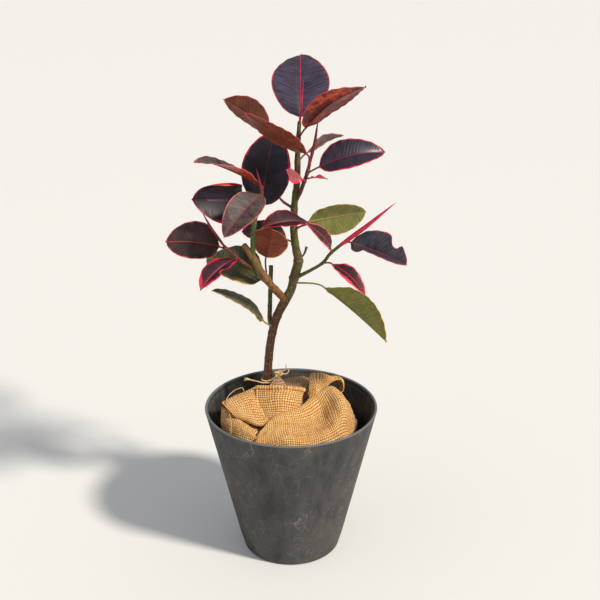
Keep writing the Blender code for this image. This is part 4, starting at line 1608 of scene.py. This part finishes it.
@dataclass
class Burlap:
    """The crumpled burlap over the soil: an under layer, its folds, and their hems and loose yarns."""

    thickness: float = 0.0011
    weave_depth: float = 0.0005
    step: float = 0.0014
    folds: tuple[Fold, ...] = FOLDS
    under_radius: float = 0.127
    under_edge: float = 0.262
    under_crown: float = 0.034
    under_sides: int = 160
    under_start: float = 0.03
    under_end: float = 1.12
    under_tuck: float = 0.16
    hem_radius: float = 0.0046
    stitch: float = 0.0056
    hem_step: float = 0.0006
    fray: float = 0.0035
    fibre: float = 0.00045
    loose: float = 0.0007

    @staticmethod
    def along_net(net: np.ndarray, shares: np.ndarray) -> np.ndarray:
        """Reads a smooth curve through the first axis of a net.

        Args:
            net: The points, first axis along the curve.
            shares: How far along to read, from 0 to 1.

        Returns:
            One row of points for each share.
        """
        ends = np.concatenate([2 * net[:1] - net[1:2], net, 2 * net[-1:] - net[-2:-1]])
        place = np.clip(shares, 0, 1) * (len(net) - 1)
        cell = np.minimum(place.astype(int), len(net) - 2)
        t = (place - cell).reshape(-1, *([1] * (net.ndim - 1)))
        a, b, c, d = (ends[cell + k] for k in range(4))
        return 0.5 * (2 * b + (c - a) * t + (2 * a - 5 * b + 4 * c - d) * t**2
                      + (3 * b - a - 3 * c + d) * t**3)

    def surface(self, fold: Fold, across: int, along: int) -> np.ndarray:
        """The fold's smooth surface.

        Args:
            fold: The fold.
            across: How many points a row has.
            along: How many rows there are.

        Returns:
            The places, rows by points by three.
        """
        net = np.array(fold.net) * MM
        rows = self.along_net(net, np.linspace(0, 1, along))
        return self.along_net(rows.transpose(1, 0, 2), np.linspace(0, 1, across)).transpose(1, 0, 2)

    def weave(self, flat_x: np.ndarray, flat_y: np.ndarray) -> np.ndarray:
        """The relief of the plain weave, from 0 to 1.

        Args:
            flat_x: Places across the cloth.
            flat_y: Places along the cloth.

        Returns:
            The height at each place.
        """
        pitch = Cloth.GOLDEN.value.pitch
        a = np.sin(flat_x * np.pi / pitch)
        b = np.sin(flat_y * np.pi / pitch)
        over = np.clip(a * b * 2.5 + 0.5, 0, 1)
        return np.abs(a) * np.abs(b) ** 0.4 * over + np.abs(a) ** 0.4 * np.abs(b) * (1 - over)

    def crumple(self, places: np.ndarray, fold: Fold) -> np.ndarray:
        """Soft creases over a fold, as heights in metres.

        Args:
            places: The surface's places, rows by points by three.
            fold: The fold.

        Returns:
            One height for each place.
        """
        flat = places.reshape(-1, 3)
        heights = np.empty(len(flat))
        for i, place in enumerate(flat):
            spot = Vector(place) * 38 + Vector((fold.seed * 7.3, 0, 0))
            crease = 1 - abs(noise.noise(spot)) * 2.4
            heights[i] = fold.crumple * (crease * 0.55 + noise.noise(spot * 2.3) * 0.45)
        return heights.reshape(places.shape[:2])

    def finish_sheet(self, piece: Piece, places: np.ndarray, width: float, length: float,
                     crumple: np.ndarray) -> None:
        """Puts a grid on its surface, with the weave's relief, flat coordinates and thickness.

        Args:
            piece: The grid.
            places: The surface's places, rows by points by three.
            width: The cloth's flat width.
            length: The cloth's flat length.
            crumple: Heights added along the normals.
        """
        rows, points = places.shape[:2]
        right = np.gradient(places, axis=1)
        down = np.gradient(places, axis=0)
        normal = np.cross(down, right)
        normal /= np.linalg.norm(normal, axis=2)[..., None] + 1e-12
        flat_x, flat_y = np.meshgrid(np.linspace(0, width, points), np.linspace(0, length, rows))
        lift = crumple + self.weave(flat_x, flat_y) * self.weave_depth
        Bench.put(piece, (places + normal * lift[..., None]).reshape(-1, 3))
        uv = piece.data.uv_layers.active.data
        values = np.empty(len(uv) * 2)
        uv.foreach_get("uv", values)
        uv.foreach_set("uv", (values.reshape(-1, 2) * (width, length)).ravel())
        Bench.thicken(piece, self.thickness, 0.0)
        Bench.smooth(piece, 70)

    def sheet(self, fold: Fold) -> Piece:
        """Builds one fold.

        Args:
            fold: The fold.

        Returns:
            Its cloth.
        """
        across = max(24, round(fold.width / self.step))
        along = max(24, round(fold.length / self.step))
        piece = Bench.grid(fold.name, across - 1, along - 1)
        places = self.surface(fold, across, along)
        self.finish_sheet(piece, places, fold.width, fold.length, self.crumple(places, fold))
        return piece

    def under_layer(self) -> Piece:
        """The cloth under the folds: a low dome whose edge is tucked down outside the nursery pot.

        Returns:
            The cloth.
        """
        rings = 60
        piece = Bench.grid("burlap_under_layer", self.under_sides - 1, rings - 1)
        angle = np.linspace(0, 2 * np.pi, self.under_sides)[None, :]
        share = np.linspace(self.under_start, self.under_end, rings)[:, None]
        radius = self.under_radius * np.minimum(share, 1.0) + 0 * angle
        height = self.under_edge + self.under_crown * (1 - np.minimum(share, 1.0) ** 2.2) + 0 * angle
        height = height - np.clip(share - 1.0, 0, None) * self.under_tuck
        places = np.stack([radius * np.cos(angle), radius * np.sin(angle), height], axis=2)[:, ::-1]
        wrinkles = Fold("under", (), 0, 0, crumple=0.0035, seed=9.0)
        round_middle = 2 * np.pi * self.under_radius * 0.55
        self.finish_sheet(piece, places, round_middle, self.under_radius * self.under_end,
                          self.crumple(places, wrinkles))
        return piece

    def hem(self, name: str, fold: Fold, edge: str, radius: float, stitched: bool) -> Piece:
        """A rolled hem along an edge of a fold.

        Args:
            name: The piece's name.
            fold: The fold.
            edge: Which edge: "top", "left" or "right".
            radius: The hem's radius.
            stitched: Whether overcast stitches bind it.

        Returns:
            The hem.
        """
        places = self.surface(fold, 60, 60)
        edges = {"top": places[0], "left": places[:, 0], "right": places[:, -1]}
        line = edges[edge] + (0, -0.0010, 0.0012)
        spans = np.linalg.norm(np.diff(line, axis=0), axis=1)
        reach = np.concatenate([[0], np.cumsum(spans)])
        count = int(reach[-1] / self.hem_step)
        rows = []
        for share in np.linspace(0, reach[-1], count):
            place = [float(np.interp(share, reach, line[:, axis])) for axis in range(3)]
            bulge = abs(math.sin(math.pi * share / self.stitch)) ** 0.5 if stitched else 1.0
            rows.append((tuple(place), radius * (0.25 + 0.75 * bulge)))
        return Bench.tube(name, rows, 3)

    def fringe(self, fold: Fold) -> Piece:
        """Short frayed yarns that stick out along the left edge of a fold.

        Args:
            fold: The fold.

        Returns:
            The yarns, as one piece.
        """
        places = self.surface(fold, 30, 60)
        pieces = []
        for i in range(4, 58, 2):
            base, inner = Vector(places[i, 0]), Vector(places[i, 2])
            out = (base - inner).normalized()
            stray = Vector(noise.noise_vector(base * 900))
            tip = base + out * (self.fray + 0.0025 * noise.noise(base * 500)) + stray * 0.0016
            middle = (base + tip) / 2 + Vector((0, 0, 0.0006))
            pieces.append(Yarn(self.fibre).lay(f"fray_{i}", [inner, base, middle, tip]))
        return Bench.named(Bench.join(pieces[0], *pieces[1:]), fold.name + "_fringe")

    def build(self) -> None:
        """Builds and dresses the burlap."""
        weave = {cloth: cloth.value.make() for cloth in Cloth}
        yarn = TwineFinish("burlap_yarn", srgb(176, 116, 54), srgb(240, 196, 128)).make()
        pieces = {fold.name: self.sheet(fold) for fold in self.folds}
        by_name = {fold.name: fold for fold in self.folds}
        trims = {
            "burlap_hemmed_panel": [
                self.hem("burlap_top_hem", by_name["burlap_hemmed_panel"], "top", self.hem_radius, True),
                self.hem("burlap_side_hem", by_name["burlap_hemmed_panel"], "left", 0.0012, False),
            ],
            "burlap_front_fold": [
                self.fringe(by_name["burlap_front_fold"]),
                Yarn(self.loose, stray=0.0004).lay("burlap_corner_loop", [
                    (-0.050, -0.125, 0.285), (-0.055, -0.130, 0.290), (-0.065, -0.130, 0.290),
                    (-0.065, -0.125, 0.285), (-0.060, -0.125, 0.280)]),
            ],
            "burlap_left_fold": [
                self.hem("burlap_left_hem", by_name["burlap_left_fold"], "right", 0.0013, False),
                Yarn(self.loose, stray=0.0008).lay("burlap_loose_yarn", [
                    (-0.090, 0.005, 0.325), (-0.095, 0.010, 0.330), (-0.110, -0.005, 0.330),
                    (-0.120, -0.020, 0.325), (-0.120, -0.045, 0.325), (-0.115, -0.060, 0.315),
                    (-0.110, -0.080, 0.300), (-0.110, -0.090, 0.285)]),
            ],
            "burlap_rolled_corner": [self.fringe(by_name["burlap_rolled_corner"])],
        }
        under = self.under_layer()
        # Painted shade: the under layer takes the shaded copy of the burlap, as it lies under the folds.
        report(under, "burlap", "burlap_cover", weave[Cloth.WEATHERED])
        for fold in self.folds:
            piece = pieces[fold.name]
            report(piece, "burlap", "burlap_cover", weave[fold.cloth])
            with_it = trims.get(fold.name, [])
            for trim in with_it:
                report(trim, "burlap", "burlap_cover", yarn)


@dataclass
class Twine:
    """The twine round the foot of the trunk, with its knot and loose ends."""

    radius: float = 0.0016
    middle: tuple[float, float] = (-0.046, 0.030)
    turn_radius: float = 0.0105
    low: float = 0.336
    high: float = 0.340
    knot: Point = (-0.025, 0.020, 0.355)
    knot_size: float = 0.0038
    knot_steps: int = 96
    turn_steps: int = 12

    def twine(self, thin: float = 1.0) -> Yarn:
        """A length of the twine that thins to a share of its radius."""
        return Yarn(self.radius, spans=8, uneven=0.15, grain=700.0, thin=thin, roundness=3)

    def knot_loop(self) -> list[tuple[Point, float]]:
        """A trefoil, drawn tight.

        Returns:
            Places and radii round the knot.
        """
        rows = []
        for i in range(self.knot_steps + 1):
            a = 2 * math.pi * i / self.knot_steps
            x = (math.sin(a) + 2 * math.sin(2 * a)) * self.knot_size * 0.72
            z = (math.cos(a) - 2 * math.cos(2 * a)) * self.knot_size * 0.60
            y = -math.sin(3 * a) * self.knot_size * 0.8
            rows.append(((self.knot[0] + x, self.knot[1] + y, self.knot[2] + z), self.radius * 1.2))
        return rows

    def turn(self) -> list[Point]:
        """One turn round the trunk.

        Returns:
            Places from the front round to the front again.
        """
        places = []
        for i in range(self.turn_steps + 1):
            a = math.radians(360 * i / self.turn_steps - 90)
            places.append((self.middle[0] + self.turn_radius * math.cos(a),
                           self.middle[1] + self.turn_radius * math.sin(a),
                           self.low + (self.high - self.low) * i / self.turn_steps))
        return places

    def build(self) -> None:
        """Builds and dresses the twine."""
        wrap = self.twine().lay("trunk_twine", [
            *self.turn(), (-0.035, 0.018, 0.345), (-0.030, 0.018, 0.350), self.knot])
        left = self.twine(0.8).lay("left_end", [
            (-0.045, 0.018, 0.337), (-0.055, 0.018, 0.337), (-0.065, 0.018, 0.340), (-0.085, 0.018, 0.345)])
        frays = [self.twine(0.3).lay(f"fray_{i}", [
                     (-0.080, 0.018, 0.344), (-0.085, 0.018 + dy, 0.345 + dz),
                     (-0.090, 0.018 + 2 * dy, 0.344 + 2 * dz)])
                 for i, (dy, dz) in enumerate(((0.001, 0.001), (-0.001, 0.0), (0.0, -0.0016)))]
        upper = self.twine(0.5).lay("upper_end", [
            self.knot, (-0.018, 0.020, 0.360), (-0.010, 0.020, 0.365), (-0.010, 0.020, 0.375)])
        lower = self.twine(0.7).lay("lower_end", [
            self.knot, (-0.015, 0.020, 0.355), (-0.010, 0.020, 0.355), (-0.005, 0.020, 0.360),
            (-0.005, 0.020, 0.365)])
        knot = Bench.tube("knot", self.knot_loop(), 3)
        piece = Bench.join(wrap, left, *frays, upper, lower, knot)
        jute = TwineFinish("jute_twine", srgb(150, 108, 66), srgb(232, 200, 150))
        report(piece, "twine", "twine_tie", jute.make())


# --------------------------------------------------------------------------- studio


@dataclass
class Studio:
    """The floor, the lights and the camera."""

    eye: Point = (0.017, -1.717, 1.177)
    pitch: float = 21.1
    lens: float = 60.0
    floor_colour: Colour = srgb(229, 229, 227)

    def floor(self) -> None:
        """Lays a plain pale floor."""
        Bench.clear_selection()
        bpy.ops.mesh.primitive_plane_add(size=160.0, location=(0, 0, 0))
        floor = Bench.named(bpy.context.object, "studio_floor")
        shop = Shop("studio_floor_paint")
        floor.data.materials.append(shop.finish(self.floor_colour, 0.75))

    def lamp(self, name: str, toward: Point, spread: float, power: float, colour: Colour) -> None:
        """Adds a soft, distant light that reaches the whole floor evenly.

        Args:
            name: The light's name.
            toward: The direction from the object to the light.
            spread: How many degrees across it is, which softens its shadows.
            power: Its power.
            colour: Its colour.
        """
        data = bpy.data.lights.new(name, "SUN")
        data.angle = math.radians(spread)
        data.energy = power
        data.color = colour[:3]
        lamp = bpy.data.objects.new(name, data)
        lamp.rotation_euler = Vector(toward).to_track_quat("Z", "Y").to_euler()
        bpy.context.scene.collection.objects.link(lamp)

    def world(self) -> None:
        """Surrounds the scene with even, slightly cool light."""
        world = bpy.data.worlds.new("studio_world")
        world.use_nodes = True
        background = world.node_tree.nodes["Background"]
        background.inputs["Color"].default_value = srgb(236, 238, 242)
        background.inputs["Strength"].default_value = 0.50
        bpy.context.scene.world = world

    def camera(self) -> None:
        """Sets up the camera."""
        data = bpy.data.cameras.new("camera")
        data.lens = self.lens
        data.sensor_width = 36.0
        data.dof.use_dof = False
        camera = bpy.data.objects.new("camera", data)
        camera.location = self.eye
        camera.rotation_euler = (math.radians(90 - self.pitch), 0, 0)
        bpy.context.scene.collection.objects.link(camera)
        bpy.context.scene.camera = camera

    def build(self) -> None:
        """Sets up everything that isn't the object."""
        self.camera()
        self.floor()
        self.world()
        self.lamp("key", (1.8, -1.2, 2.0), 7.0, 3.5, srgb(255, 247, 234))
        self.lamp("fill", (-2.2, -1.2, 1.4), 60.0, 0.25, srgb(226, 236, 255))
        bpy.context.scene.view_settings.view_transform = "Standard"


def main() -> None:
    """Builds every sub-assembly in order."""
    logging.basicConfig(level=logging.INFO, format="%(name)s %(message)s")
    noise.seed_set(NOISE_SEED)
    Studio().build()
    for assembly in (Planter(), Stems(), Foliage(), Buds(), Burlap(), Twine()):
        LOG.info("building %s", type(assembly).__name__)
        assembly.build()


if __name__ == "__main__":
    main()
